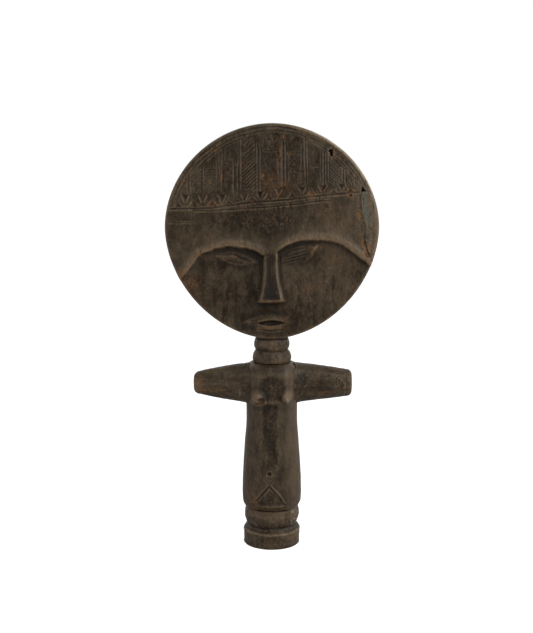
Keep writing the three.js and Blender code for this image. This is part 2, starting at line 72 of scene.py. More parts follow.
# Head, in the plane of its disc: across, up the disc and out of its front
HEAD_CENTRE = np.array([0.0, -1.2, 251.23])
HEAD_LEAN = math.radians(6)
HALF_WIDTH = box_mm("mended_rim")[1][0]
CROWN_RISE = 78.7
CHIN_DROP = 85.2
CHIN_POWER = 1.86
CROWN_POWER = 1.95
FRONT_RISE = 7.6
FRONT_CROWN = 2.0
BACK_RISE = 9.0
BACK_CROWN = 2.6
NAPE_THICKNESS = 13.0
NAPE_HALF_WIDTH = 15.0
NAPE_HEIGHT = 42.0
RIM_ROUNDING = 2.4
FACE_ROUNDING = 1.5
FACE_FLOOR = 3.4
STUB_RADIUS = 12.4
STUB_TOP_RADIUS = 7.0
STUB_HEIGHT = 13.0

# Split at the viewer's right, from below to above, how wide it gapes and the chip at its top
SPLIT_LINE = [
    (80, -36), (76.4, -27), (73, -18), (70.6, -9), (71, 1),
    (68.4, 11), (67.3, 22), (68.9, 30), (74, 42),
]
SPLIT_GAP = 0.2
SPLIT_ROUNDING = 0.22
SPLIT_HOLE = [(68.0, 31.6), (67.4, 26.6), (71.8, 27.2)]
SPLIT_HOLE_DEPTH = 3.2

# Lower edges of the brows, from the viewer's left to right
BROW_LINE = [
    (-82, -56), (-75, -46), (-68.5, -38.2), (-61.5, -29.4), (-56.2, -22), (-49, -18.2),
    (-42.1, -15.8), (-36, -14.5), (-29.8, -14.3), (-22.9, -15), (-16, -16.4), (-10.4, -18.4),
    (-6, -20.8), (-1, -21.8), (3, -19.2), (6, -16.8), (10.6, -13.9), (15.4, -11.6),
    (20.5, -10.1), (26, -9.4), (36, -9.4), (46.4, -10.4), (53.3, -13), (60.2, -17.8),
    (67.1, -23), (73.3, -28), (84, -38),
]
# How the brow ridge rises: distance above the brow line and share of the ridge
BROW_PROFILE = [
    (-1.0, 0.2), (0.0, 0.55), (0.9, 0.9), (2.4, 1.0), (4.0, 0.72), (5.4, 0.25), (7.5, -0.12),
    (11.0, -0.25), (18.0, 0.0),
]
# How the brow falls to the face: distance below the brow line and share of the fall
BROW_FALL = [(0, 0), (0.6, 0.3), (1.5, 0.62), (2.8, 0.85), (4.4, 0.97), (7.0, 1.0)]

# Nose, from its tip up: height, half width of its front, middle and width of its flanks
NOSE = np.array([
    (-56.7, 8.8, -0.4, 4.2), (-50, 7.4, -0.3, 3.6), (-42, 5.9, -0.5, 3.2),
    (-34, 5.1, -0.8, 3.0), (-26, 4.9, -1.0, 2.6), (-18, 5.3, -0.8, 2.0),
])
NOSE_FLANK = [(-0.45, 0.0), (-0.1, 0.07), (0.2, 0.35), (0.65, 0.85), (1.0, 1.0)]
NOSE_END = [(-0.5, 0), (0.1, 0.08), (0.5, 0.45), (1.5, 0.95), (2.2, 1.0)]


# Lines and noise


def flowing(points, step=0.8):
    """A smooth line through points, with its own points at an even step."""
    given = np.asarray(points, float)
    padded = np.vstack([2 * given[0] - given[1], given, 2 * given[-1] - given[-2]])
    t = np.linspace(0, 1, 10, endpoint=False)[:, None]
    spans = []
    for a, b, c, d in zip(padded, padded[1:], padded[2:], padded[3:]):
        bend = (2 * a - 5 * b + 4 * c - d) * t**2 + (3 * b - a - 3 * c + d) * t**3
        spans.append(b + 0.5 * ((c - a) * t + bend))
    return evenly(np.vstack(spans + [given[-1:]]), step)


def evenly(line, step):
    """The same line with its points at an even step."""
    travel = np.concatenate([[0], np.cumsum(np.hypot(*np.diff(line, axis=0).T))])
    places = np.linspace(0, travel[-1], max(2, round(travel[-1] / step) + 1))
    return np.column_stack([np.interp(places, travel, line[:, k]) for k in (0, 1)])


def by_hand(points, seed, stray=0.22):
    """A line as a hand cuts it: it strays a little to each side."""
    line = evenly(np.asarray(points, float), 1.0)
    random = np.random.default_rng(seed)
    knots = np.linspace(0, len(line) - 1, max(3, len(line) // 4))
    for k in (0, 1):
        strays = random.uniform(-stray, stray, len(knots))
        line[:, k] += np.interp(np.arange(len(line)), knots, strays)
    return line


def looked_up(table, value):
    """What a table of pairs gives for a value, in between its rows too."""
    return np.interp(value, *np.array(table, float).T)


def grown_noise(shape, cells, seed, around=False):
    """Smooth seeded noise from -1 to 1 over a grid, with so many cells up and across it."""
    table = np.random.default_rng(seed).uniform(-1, 1, (cells[0] + 2, cells[1] + 2))
    if around:
        table[:, cells[1]:] = table[:, :2]
    up = np.linspace(0, cells[0], shape[0])
    across = np.linspace(0, cells[1], shape[1])
    row, column = up.astype(int), across.astype(int)
    fr = (up - row) ** 2 * (3 - 2 * (up - row))
    fc = (across - column) ** 2 * (3 - 2 * (across - column))
    low = table[np.ix_(row, column)] * (1 - fc) + table[np.ix_(row, column + 1)] * fc
    high = table[np.ix_(row + 1, column)] * (1 - fc) + table[np.ix_(row + 1, column + 1)] * fc
    return low * (1 - fr[:, None]) + high * fr[:, None]


def unit(value):
    """A value held between 0 and 1."""
    return np.clip(value, 0, 1)


def eased(value, low, high):
    """From 0 at low to 1 at high, with a smooth start and end."""
    share = unit((value - low) / (high - low))
    return share * share * (3 - 2 * share)


def swell(*away):
    """A bell: 1 where every distance is 0, and near 0 where one is more than 2."""
    return np.exp(-sum(distance**2 for distance in away))


def each(tool, *rows):
    """Uses a tool once for each row of what it needs."""
    for row in rows:
        tool(*row)


def softened(field, reach):
    """A blurred copy of a map, over a reach counted in its cells."""
    reach = max(1, int(round(reach)))
    for axis in (0, 1):
        for _ in range(3):
            pad = [(reach + 1, reach) if k == axis else (0, 0) for k in (0, 1)]
            total = np.cumsum(np.pad(field, pad, mode="edge"), axis=axis)
            ahead = np.take(total, range(2 * reach + 1, total.shape[axis]), axis=axis)
            behind = np.take(total, range(0, total.shape[axis] - 2 * reach - 1), axis=axis)
            field = (ahead - behind) / (2 * reach + 1)
    return field


class Relief:
    """A height map over a flat or unrolled surface, in millimetres, which tools cut into."""

    def __init__(self, low, high, pitch):
        self.low, self.pitch = low, pitch
        columns, rows = (int(math.ceil((high[k] - low[k]) / pitch)) + 1 for k in (0, 1))
        self.across, self.up = np.meshgrid(
            low[0] + pitch * np.arange(columns), low[1] + pitch * np.arange(rows)
        )
        for name in "height cuts lips rims bare worn pale hollow hollowed".split():
            setattr(self, name, np.zeros_like(self.across))
        self.faded = np.full_like(self.across, 0.5)

    def window(self, low, high):
        """The slices of the map between two corners."""
        slices = []
        for k, size in ((1, self.up.shape[0]), (0, self.up.shape[1])):
            first = int(np.clip((low[k] - self.low[k]) / self.pitch, 0, size - 1))
            last = int(np.clip((high[k] - self.low[k]) / self.pitch + 2, first + 1, size))
            slices.append(slice(first, last))
        return tuple(slices)

    def off(self, middle, radii, span=Ellipsis):
        """How far places are from a middle, counted in radii."""
        across = (self.across[span] - middle[0]) / radii[0]
        return np.hypot(across, (self.up[span] - middle[1]) / radii[1])

    def lift(self, name, span, values):
        """Raises a map to some values wherever it is lower."""
        field = getattr(self, name)
        field[span] = np.maximum(field[span], values)

    def noise(self, cell_across, cell_up, seed, around=False):
        """Noise over the whole map, with cells of that size in millimetres."""
        size = self.up.shape
        cells = (
            max(1, round(size[0] * self.pitch / cell_up)),
            max(1, round(size[1] * self.pitch / cell_across)),
        )
        return grown_noise(size, cells, seed, around)

    def noises(self, *layers):
        """Layers of noise added up, each with its weight before what its noise needs."""
        return sum(weight * self.noise(*how) for weight, *how in layers)

    def groove(self, path, width, depth, fade=1.6, lips=1.0):
        """A knife line: a soft V cut along a path, shallow at its ends, with a raised lip."""
        path = np.asarray(path, float)
        half, reach = width / 2, 1.9 * width
        length = np.hypot(*np.diff(path, axis=0).T)
        travelled = np.concatenate([[0], np.cumsum(length)])
        for i, (a, b) in enumerate(zip(path[:-1], path[1:])):
            span = self.window(np.minimum(a, b) - reach, np.maximum(a, b) + reach)
            x, y = self.across[span] - a[0], self.up[span] - a[1]
            run = (b - a) / max(length[i], 1e-6)
            along = np.clip(x * run[0] + y * run[1], 0, length[i])
            off = np.hypot(x - along * run[0], y - along * run[1])
            place = travelled[i] + along
            ends = eased(np.minimum(place, travelled[-1] - place), -0.3, fade)
            self.lift("cuts", span, depth * ends * swell(off / (0.72 * half)))
            self.lift("lips", span, lips * ends * swell((off - 1.7 * half) / (0.6 * half)))

    def scored(self, points, seed, stray, *knife):
        """A knife line from point to point, as a hand cuts it."""
        self.groove(by_hand(points, seed, stray), *knife)

    def curved(self, points, seed, stray, *knife):
        """A knife line along a smooth curve through points, as a hand cuts it."""
        self.groove(by_hand(flowing(points), seed, stray), *knife)

    def bead(self, path, half, rise, light=0.5):
        """A thin raised line, lighter along its crest: wear, and on some lines a painted highlight.
        """
        line = evenly(np.asarray(path, float), 0.4)
        travel = np.arange(len(line)) * 0.4
        ends = eased(np.minimum(travel, travel[-1] - travel), -0.2, 2.4)
        for place, end in zip(line, ends):
            span = self.window(place - 3 * half, place + 3 * half)
            away = swell(self.off(place, (half, half), span))
            self.lift("rims", span, rise * end * away)
            self.lift("lips", span, light * end * away)

    def lid(self, points, *shape):
        """A thin raised line along a smooth curve through points."""
        self.bead(flowing(points), *shape)

    def strap(self, path, width, depth, rise, gap=1.05):
        """A raised strap left standing between two knife lines."""
        path = np.asarray(path, float)
        run = np.gradient(path, axis=0)
        run /= np.maximum(np.hypot(*run.T), 1e-6)[:, None]
        aside = gap * np.stack([-run[:, 1], run[:, 0]], -1)
        for line in (path + aside, path - aside):
            self.groove(line, width, depth, 2.2, 0.25)
        for place in evenly(path, 0.5):
            span = self.window(place - 1.5, place + 1.5)
            self.lift("lips", span, rise * swell(self.off(place, (0.55, 0.55), span)))

    def strokes(self, middle, radii, count, length, width, depth, seed, bare=0.0):
        """Short worn gouge strokes scattered over a place, most of them along the grain."""
        random = np.random.default_rng(seed)
        for _ in range(count):
            x, y = middle + random.normal(0, 0.55, 2) * radii
            lean = random.choice([0.0, 0.0, 0.75, -0.75, 1.5]) + random.normal(0, 0.15)
            half = 0.5 * random.uniform(*length)
            reach = half * np.array([math.sin(lean), math.cos(lean)])
            line = by_hand([(x, y) - reach, (x, y) + reach], seed + int(1000 * abs(x)) % 997, 0.12)
            self.groove(line, random.uniform(*width), random.uniform(*depth), 0.8, 0.25)
            if random.uniform() < bare:
                self.pit((x + 0.7, y), (0.6, 1.1), 0.05, random.uniform(0.15, 0.5))

    def chip(self, corners, depth, bare=0.0):
        """A chip cut: a hollow with straight sides that meet at its middle."""
        corners = np.asarray(corners, float)
        x, y = corners.T
        if np.sum(x * np.roll(y, -1) - np.roll(x, -1) * y) < 0:
            corners = corners[::-1]
        span = self.window(corners.min(0) - 1, corners.max(0) + 1)
        inside = np.full(self.up[span].shape, np.inf)
        for a, b in zip(corners, np.roll(corners, -1, axis=0)):
            run = (b - a) / np.hypot(*(b - a))
            off = run[0] * (self.up[span] - a[1]) - run[1] * (self.across[span] - a[0])
            inside = np.minimum(inside, off)
        shape = unit(inside / max(inside.max(), 1e-6))
        self.lift("cuts", span, depth * shape**0.8)
        self.lift("bare", span, bare * eased(shape, 0, 0.4))

    def pit(self, middle, radii, depth, bare=0.0):
        """A small hole or bruise."""
        reach = 1.4 * np.asarray(radii, float)
        span = self.window(np.array(middle) - reach, np.array(middle) + reach)
        off = self.off(middle, radii, span)
        self.lift("cuts", span, depth * (1 - eased(off, 0.45, 1.0)))
        self.lift("bare", span, bare * (1 - eased(off, 0.6, 1.35)))

    def rubbed(self, middle, radii, amount=1.0):
        """A place where handling has worn the stain through to bare wood."""
        self.lift("bare", Ellipsis, amount * swell(self.off(middle, radii)))

    def paled_and_lit(self, middle, radii, amount=1.0):
        """A pale cream place: kaolin-like wear, and in some places a painted highlight."""
        self.lift("pale", Ellipsis, amount * swell(self.off(middle, radii)))

    def toned_and_lit(self, middle, radii, amount):
        """A place made lighter (more than 0) or darker than elsewhere: the stain's own tone, and in
        some places painted light and shade.
        """
        self.faded += amount * swell(self.off(middle, radii))

    def finish(self, lip, unevenness=0.25, seed=5):
        """Takes the cuts out of the surface and reads where it is worn, and where it is hollow, for
        painted shade there.
        """
        depth = 1 - unevenness * self.noises((1, 7, 7, seed), (0.4, 2.2, 2.8, seed + 1))
        lips = self.lips * (1 - eased(self.cuts, 0.02, 0.2))
        self.height += self.rims + lip * lips - self.cuts * depth
        near, wide = (softened(self.height, reach / self.pitch) for reach in (0.55, 1.7))
        raised = 0.5 * unit((self.height - near) / 0.3) + 0.9 * unit((self.height - wide) / 0.9)
        lifted = lips * unit(0.75 + 0.5 * self.noise(4, 4, seed + 2))
        self.worn = unit(0.85 * softened(raised, 0.3 / self.pitch) + 0.45 * lifted)
        # Painted shade: the further a place lies below its neighbours, the darker the hollow mask
        # makes it.
        hollow_shade = 0.6 * unit((near - self.height) / 0.4) + unit((wide - self.height) / 0.9)
        self.hollow = unit(softened(hollow_shade, 0.25 / self.pitch) + self.hollowed)
        self.bare, self.faded = unit(self.bare), unit(self.faded)

    def read(self, field, across, up):
        """A map's values at places on the surface."""
        rows, columns = field.shape
        x = np.clip((across - self.low[0]) / self.pitch, 0, columns - 1.001)
        y = np.clip((up - self.low[1]) / self.pitch, 0, rows - 1.001)
        j, i = x.astype(int), y.astype(int)
        fx, fy = x - j, y - i
        low = field[i, j] * (1 - fx) + field[i, j + 1] * fx
        high = field[i + 1, j] * (1 - fx) + field[i + 1, j + 1] * fx
        return low * (1 - fy) + high * fy

    def marks(self, across, up):
        """What the finish needs to know of the carving at places on the surface."""
        names = ("worn", "hollow", "bare", "faded", "pale")
        return {name: self.read(getattr(self, name), across, up) for name in names}


# Meshes


def closed_mesh(name, points, triangles):
    """A smooth-shaded object from points in millimetres and triangles."""
    mesh = bpy.data.meshes.new(name)
    mesh.vertices.add(len(points))
    mesh.vertices.foreach_set("co", (np.asarray(points) * MM).astype(np.float32).ravel())
    mesh.loops.add(3 * len(triangles))
    mesh.loops.foreach_set("vertex_index", np.asarray(triangles, np.int32).ravel())
    mesh.polygons.add(len(triangles))
    mesh.polygons.foreach_set("loop_start", np.arange(0, 3 * len(triangles), 3, dtype=np.int32))
    mesh.update(calc_edges=True)
    mesh.validate()
    piece = bpy.data.objects.new(name, mesh)
    bpy.context.scene.collection.objects.link(piece)
    return piece


def quads(a, b, c, d):
    """Four-sided faces between points, each as two triangles."""
    return np.concatenate([np.stack(k, -1).reshape(-1, 3) for k in ((a, b, c), (a, c, d))])


def joined_rings(rings):
    """Points and triangles of a closed surface through rings of points, from below to above."""
    rows, columns = rings.shape[:2]
    points = np.vstack([rings.reshape(-1, 3), rings[0].mean(axis=0), rings[-1].mean(axis=0)])
    here = np.arange(columns)
    beside = np.roll(here, -1)
    start = (np.arange(rows - 1) * columns)[:, None]
    a, b = start + here, start + beside
    foot = np.stack([np.full(columns, rows * columns), beside, here], -1)
    last = (rows - 1) * columns
    top = np.stack([np.full(columns, rows * columns + 1), last + here, last + beside], -1)
    return points, np.concatenate([quads(a, b, b + columns, a + columns), foot, top])


def web_of_rings(count):
    """A disc as a web of even triangles: each ring holds six more points than the one inside it.
    Gives each point's ring and its place around it, and the triangles."""
    ring, place = [np.zeros(1)], [np.zeros(1)]
    start = [0]
    triangles = []
    for k in range(1, count + 1):
        start.append(start[-1] + (6 * (k - 1) if k > 1 else 1))
        ring.append(np.full(6 * k, k))
        place.append(np.arange(6 * k) / (6 * k))
        outer = np.arange(6 * k)
        side, step = outer // k, outer % k
        inside = 6 * (k - 1) if k > 1 else 1
        inner = (side * (k - 1) + step) % inside
        a, b = start[k] + outer, start[k] + (outer + 1) % (6 * k)
        c = start[k - 1] + inner
        triangles.append(np.stack([c, a, b], -1))
        if k > 1:
            held = step < k - 1
            d = start[k - 1] + (inner[held] + 1) % inside
            triangles.append(np.stack([c[held], b[held], d], -1))
    return np.concatenate(ring) / count, np.concatenate(place), np.concatenate(triangles)


def rough_count(most):
    """How many faces a piece keeps of so many when it is only roughed out."""
    return int(most / ROUGH_OUT**1.5)


def thinned(piece, most):
    """Lets flat places keep fewer faces, so that the piece has at most so many."""
    share = most / len(piece.data.polygons)
    if share < 1:
        piece.modifiers.new("fewer faces", "DECIMATE").ratio = share
        ready = piece.evaluated_get(bpy.context.evaluated_depsgraph_get())
        kept = bpy.data.meshes.new_from_object(ready)
        piece.modifiers.clear()
        old, piece.data = piece.data, kept
        bpy.data.meshes.remove(old)
    return piece


def points_of(piece):
    """A piece's points, in millimetres."""
    flat = np.empty(3 * len(piece.data.vertices), np.float32)
    piece.data.vertices.foreach_get("co", flat)
    return flat.reshape(-1, 3).astype(float) / MM


def marked(piece, marks):
    """Stores the marks of carving and wear on a piece's points."""
    for name, values in marks.items():
        layer = piece.data.attributes.new(name, "FLOAT", "POINT")
        layer.data.foreach_set("value", np.asarray(values, np.float32))
    return piece


def installed(piece, material, slot, *nodes):
    """Gives a piece its finish and lets it stand for its CAD nodes."""
    piece.data.name = piece.name
    piece.data.shade_smooth()
    piece.data.materials.clear()
    piece.data.materials.append(material)
    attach(piece, "root")
    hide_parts(*nodes)
    return piece


# Head


def rim_reach(angle):
    """Distance from the head's centre to its rim, in a direction."""
    across, along = np.abs(np.cos(angle)) / HALF_WIDTH, np.sin(angle)
    power = np.where(along >= 0, CROWN_POWER, CHIN_POWER)
    height = np.where(along >= 0, CROWN_RISE, CHIN_DROP)
    return (across**power + (np.abs(along) / height) ** power) ** (-1 / power)


def inside_rim(u, v):
    """How far inside the head's rim a place lies, along its own direction."""
    return rim_reach(np.arctan2(v, u)) - np.hypot(u, v)


def share_of_reach(u, v):
    """How far out a place lies, as a share of the rim's distance."""
    return np.hypot(u, v) / rim_reach(np.arctan2(v, u))


def rim_line(inset, first, last, count):
    """A line that follows the rim from one direction to another, in degrees."""
    angle = np.radians(np.linspace(first, last, count))
    reach = rim_reach(angle) - inset
    return np.stack([reach * np.cos(angle), reach * np.sin(angle)], -1)


def rim_loss(inside, rounding):
    """How much a rounded edge takes off a face, at a distance inside it."""
    return rounding * (1 - np.sqrt(1 - unit(1 - inside / rounding) ** 2))


def head_back(u, v):
    """How far behind the head's plane its back lies."""
    low_down = eased(-v, CHIN_DROP - NAPE_HEIGHT, CHIN_DROP)
    nape = NAPE_THICKNESS * swell(u / NAPE_HALF_WIDTH) * low_down
    return BACK_RISE - BACK_CROWN * share_of_reach(u, v) ** 2 + nape


def in_head_frame(points):
    """Points of the figure as across, up and out of the head's disc."""
    away = points - HEAD_CENTRE
    sine, cosine = math.sin(HEAD_LEAN), math.cos(HEAD_LEAN)
    up = away[:, 1] * sine + away[:, 2] * cosine
    return away[:, 0], up, away[:, 2] * sine - away[:, 1] * cosine


def from_head_frame(u, v, w):
    """The reverse: places on the head as points of the figure."""
    sine, cosine = math.sin(HEAD_LEAN), math.cos(HEAD_LEAN)
    return HEAD_CENTRE + np.stack([u, v * sine - w * cosine, v * cosine + w * sine], -1)


def split_line(side):
    """The torn edge of the split, on the head's side (-1) or on the sliver's (1)."""
    line = flowing(SPLIT_LINE, 0.6)
    count = len(line)
    tears = np.random.default_rng(41).uniform(-1, 1, (count + 2) // 3)
    ragged = np.interp(np.arange(count), np.arange(0, count, 3), tears)
    line[:, 0] += side * SPLIT_GAP / 2 + (0.28 if side < 0 else 0.12) * ragged
    return line


def brow_distance(relief):
    """Distance of each place above (or below, less than 0) the lower edge of the brows."""
    line = flowing(BROW_LINE, 0.5)
    edge = np.interp(relief.across[0], line[:, 0], line[:, 1])
    slope = np.gradient(edge, relief.pitch)
    slope = np.convolve(np.pad(slope, 6, mode="edge"), np.ones(13) / 13, mode="valid")
    return (relief.up - edge) / np.sqrt(1 + slope**2)


def carve_face(relief, head):
    """Forehead, brows, cheeks, nose, eyes and mouth."""
    u, v = relief.across, relief.up
    off = brow_distance(relief) + relief.noises((0.22, 1.7, 6, 331), (0.3, 5, 5, 332))
    crest = head.brow_ridge / MM * looked_up(BROW_PROFILE, off) * (1 - 0.55 * swell((u + 1) / 7))
    dome = FRONT_RISE - FRONT_CROWN * np.clip(share_of_reach(u, v), 0, 1.05) ** 2
    forehead = dome + softened(crest, 0.4 / relief.pitch)
    cheeks = 0.7 * swell((np.abs(u) - 36) / 20, (v + 46) / 22)
    sockets = 0.55 * swell((np.abs(u) - 22) / 20, (v + 23) / 10)
    beside_nose = 0.45 * swell((np.abs(u) - 13) / 6, (v + 42) / 18)
    floor = FACE_FLOOR + cheeks - sockets - beside_nose
    fall = softened(looked_up(BROW_FALL, -off), 0.25 / relief.pitch)
    relief.height = forehead + (floor - forehead) * fall
    relief.face = eased(-off, 0.0, 3.0)
    # Painted highlight along the brow ridge: a lighter band, lighter still on the viewer's right,
    # whose lips also count as worn.
    band = eased(off, -0.8, 0.5) * (1 - eased(off, 3.2, 7.0)) * (1 - 0.6 * swell((u + 1) / 6))
    streaks = relief.noises((0.45, 1.3, 6, 333), (0.3, 6, 6, 334))
    band *= np.clip(0.75 + streaks, 0, 1.2)
    relief.faded += 0.34 * band * (1 + 0.35 * eased(u, 4, 24))
    # Painted light just under the brow's edge, which lifts its shade, and a lighter strip higher up
    # the forehead.
    relief.faded += 0.16 * swell((off + 3.2) / 2.4) * (off < 0)
    relief.faded += 0.2 * swell((off - 7) / 5) * (off > 0)
    relief.lift("lips", Ellipsis, 0.45 * band)
    carve_eyes(relief, head.eye_relief / MM)
    carve_mouth(relief, head.lip_relief / MM)
    carve_nose(relief, head.nose_rise / MM)


def almond(relief, middle, half_length, half_height, turn):
    """A lens with pointed ends: 1 at its middle, 0 at its edge, and the way along it."""
    angle = math.radians(turn)
    x, y = relief.across - middle[0], relief.up - middle[1]
    along = (x * math.cos(angle) + y * math.sin(angle)) / half_length
    beside = (y * math.cos(angle) - x * math.sin(angle)) / half_height
    pinch = unit(1 - along**2)
    return unit(1 - (beside / np.maximum(pinch, 1e-3)) ** 2) * (pinch > 0), along


# Thin raised lines of the eyes: points, half width, rise and how light they are worn
EYE_LIDS = [
    ([(-42, -20.6), (-36.4, -19.1), (-30.6, -18.8), (-24.3, -20.2), (-18.6, -21.9),
      (-11.2, -26.2)], 0.6, 0.22, 0.25),
    ([(-41.6, -21.6), (-36, -25.7), (-28.1, -28.4), (-21.6, -29.3), (-15.8, -28.4),
      (-10.8, -27)], 0.6, 0.16, 0.15),
    ([(7.4, -25.2), (13, -22.4), (19.4, -20.9), (26.6, -18.6)], 0.5, 0.1, 0.25),
    ([(9, -23.2), (14.4, -20.2), (20.4, -18.4), (26.4, -16.4)], 0.45, 0.08, 0.2),
    ([(23, -27.6), (27.4, -23.6), (31.6, -18.6), (35.2, -12.6)], 1.1, 0.5, 0.7),
]
# Knife lines: points, seed, how far the hand strays, width, depth, length of the ends, lip
EYE_CREASES = [
    ([(-38, -21.6), (-31, -20.7), (-24.6, -22.2), (-17.6, -24.2)], 61, 0.15, 1.4, 0.32, 3, 0.4),
    ([(-36, -23.8), (-30, -26.2), (-23, -27.3), (-16.6, -26.7)], 62, 0.15, 1.3, 0.28, 3, 0.4),
]
RIGHT_EYE_CUTS = [
    [(8.2, -22.4), (12.6, -19), (18.4, -16.8), (25.4, -15.4)],
    [(8.0, -24.4), (13.6, -21.3), (19.2, -19.9), (26.8, -17.4)],
    [(7.4, -25.8), (15, -23.2), (22, -21.6), (28, -19.6)],
    [(8, -27.4), (14, -25.6), (20, -24.6), (25.6, -22.6)],
    [(9, -29.6), (14, -28.4), (20, -26.4)], [(12, -17), (17.6, -14.4), (25, -13.2)],
]
LIP_LINES = [
    ([(-24.6, -73.9), (-16.7, -70.9), (-9.1, -68.4), (-2, -67.4), (4, -67.9)], 1.2, 0.2, 0.15),
    ([(-9.4, -75.6), (-0.2, -76.9), (8, -75.8)], 0.5, 0.2, 0.3),
]


def carve_eyes(relief, rise):
    """Two almond eyes: low mounds with thin raised lids, dark slits and fine cuts."""
    soft = 0.7 / relief.pitch
    mound, along = almond(relief, (-26.8, -24.3), 16.6, 5.6, -9.5)
    relief.height += rise * softened(mound, soft) * (1 - 0.35 * eased(along, 0.0, 0.9))
    mound, along = almond(relief, (20.8, -20.2), 15.4, 6.7, 22)
    relief.height += rise * softened(mound, soft) * (0.5 + 0.5 * eased(along, -0.7, 0.4))
    slit, _ = almond(relief, (-21.4, -24.2), 6.6, 1.5, -20)
    relief.lift("cuts", Ellipsis, 0.7 * slit)
    each(relief.lid, *EYE_LIDS)
    each(relief.curved, *EYE_CREASES)
    for k in range(11):
        x, y = -38.5 + 2.0 * k, -22.4 - 0.3 * k
        lash = [(x, y), (x + 1.0, y - 3.2 - 0.2 * (k % 3))]
        relief.scored(lash, 70 + k, 0.2, 0.75, 0.22, 0.8, 0.5)
    for k, cut in enumerate(RIGHT_EYE_CUTS):
        relief.curved(cut, 80 + k, 0.2, 1.3, 0.42, 1.6, 0.35)
    each(
        relief.rubbed, ((30.6, -19.6), (1.4, 3.4), 0.7), ((-37.4, -24.2), (3, 1.2), 0.5),
        ((-24, -27.6), (4.6, 1.0), 0.6), ((-29, -22.6), (3.4, 1.0), 0.55),
    )


def carve_mouth(relief, rise):
    """Soft lips: a long upper one that trails off to the left, a dark opening, a fine lower one."""
    lips, along = almond(relief, (-2.4, -72.2), 20.5, 6.2, 1)
    taper = (1 - 0.35 * np.abs(along)) * (1 - 0.3 * eased(along, 0.2, 0.9))
    relief.height += 0.8 * rise * softened(lips, 1.1 / relief.pitch) * taper
    opening, _ = almond(relief, (-0.6, -73), 10.6, 2.2, 1)
    relief.lift("cuts", Ellipsis, 2.3 * opening**0.4 * (opening > 0))
    each(relief.lid, *LIP_LINES)
    relief.curved([(-18, -73.4), (-14, -73.5), (-9, -73.1)], 91, 0.22, 1.2, 0.25, 4, 0.1)
    relief.curved([(-12, -77.4), (-1, -79), (10, -77.8)], 93, 0.22, 1.3, 0.3)
    each(relief.rubbed, ((0, -76.6), (8.5, 0.9), 0.95), ((-4, -70.4), (6, 0.9), 0.35))
    # Painted shade in the mouth's opening.
    relief.hollowed += 0.4 * swell((relief.across + 0.6) / 9, (relief.up + 73) / 1.8)


def carve_nose(relief, tip_rise):
    """A long nose, narrow at the brows, flared and square-cut at its tip."""
    u, v = relief.across, relief.up
    tip, root = NOSE[0, 0], NOSE[-1, 0]
    half, middle, flank = (np.interp(v, NOSE[:, 0], column) for column in NOSE.T[1:])
    front = np.interp(v, [tip, root], [tip_rise, FRONT_RISE])
    off = np.abs(u - middle)
    beside = off - half
    hollow = 0.35 * unit(1 - off**2 / half**2) * eased(-v, 24, 34)
    slope = looked_up(NOSE_FLANK, beside / flank)
    surface = front - hollow - slope * (front - FACE_FLOOR + 1.2)
    surface -= looked_up(NOSE_END, tip + 0.035 * u - v) * (tip_rise - FACE_FLOOR + 1.5)
    present = eased(-v, 16, 21) * (beside < flank)
    raised = np.maximum(relief.height, softened(surface, 0.25 / relief.pitch))
    relief.height += (raised - relief.height) * present
    # Painted shade down the front of the nose, darkest in its lower part, through a darker tone and
    # the hollow colour.
    inside = (1 - eased(beside, -2.2, -0.8)) * eased(v, -56.4, -54.6) * (1 - eased(v, -24, -19))
    darkest_part = 1 - eased(np.abs(v + 50), 3.5, 6)
    relief.faded -= inside * (0.85 + 0.5 * darkest_part)
    relief.hollowed += inside * (0.55 + 0.4 * darkest_part)
    arris = eased(beside, -0.9, 0) * (1 - eased(beside, 0.4, 1.6))
    relief.rims += 0.25 * arris * (v < -24) * (v > -55)
    for k, x in enumerate((-3.4, -1.6, 0.4, 2.2, 3.6)):
        line = [(x, -24 - 2 * (k % 3)), (x * 1.15, -40), (x * 1.5, -53.5 + 2 * (k % 2))]
        relief.scored(line, 340 + k, 0.35, 0.9, 0.2, 4, 0.5)
    # Painted light on the nose's flanks and beside them, which lifts their shade.
    each(relief.toned_and_lit, ((9.6, -40), (2.4, 11), 0.2), ((-9, -40), (3, 12), 0.2))
    each(relief.rubbed, ((0.4, -36), (0.8, 6), 0.4), ((-0.4, -56.6), (9, 0.9), 0.8))


# Carved crown: places are across and up from the head's centre

BAND_LINES = [
    [(-79, 13.9), (-60, 14.2), (-45, 14.7), (-37, 15.9), (-24, 17.6), (-10, 19.2), (2.3, 20),
     (17, 21.4), (32.5, 23.3), (50, 25.2), (67, 26.9)],
    [(-61.5, 12.4), (-42, 12.9), (-24.2, 13.9), (-8, 15), (2.3, 15.8), (17, 17.3),
     (32.5, 19.3), (46, 20.6)],
    [(-79, 3.6), (-67, 3.4), (-55.5, 3.7)],
]
# Straps left standing between upright lines: foot, head and how light they are worn
STRAPS = [
    ((-61.6, 22), (-61.9, 40), 0.9), ((-52.0, 26), (-51.8, 46), 0.8),
    ((-38.5, 27), (-38.2, 60), 0.9), ((-26.3, 26), (-26.5, 47), 1.0),
    ((-23.8, 28), (-24.0, 68), 0.9), ((-8.8, 27), (-9.3, 60), 0.7), ((6.8, 30), (6.7, 52), 1.0),
    ((9.9, 33), (9.6, 66), 0.8), ((24.8, 33), (23.9, 67), 1.0), ((27.0, 33), (25.9, 66), 0.9),
    ((38.4, 33), (38.1, 60), 1.0), ((40.5, 33), (40.3, 60.5), 0.9), ((42.4, 33), (42.1, 59), 0.9),
    ((52.5, 34), (52.8, 46), 1.0), ((54.9, 32), (54.6, 46), 0.9),
]
# Straps that bend: points, width and depth of the lines beside them as shares
BENT_STRAPS = [
    ([(-26.4, 26.4), (-25.6, 23.8), (-24.2, 22.4)], 0.8, 0.3),
    ([(54.9, 36), (56, 30.4), (57.6, 26.8)], 0.9, 0.6),
    ([(-11.6, 27), (-6.6, 22.2)], 0.8, 0.5), ([(12.6, 21.4), (15.1, 26.6)], 0.8, 0.5),
]
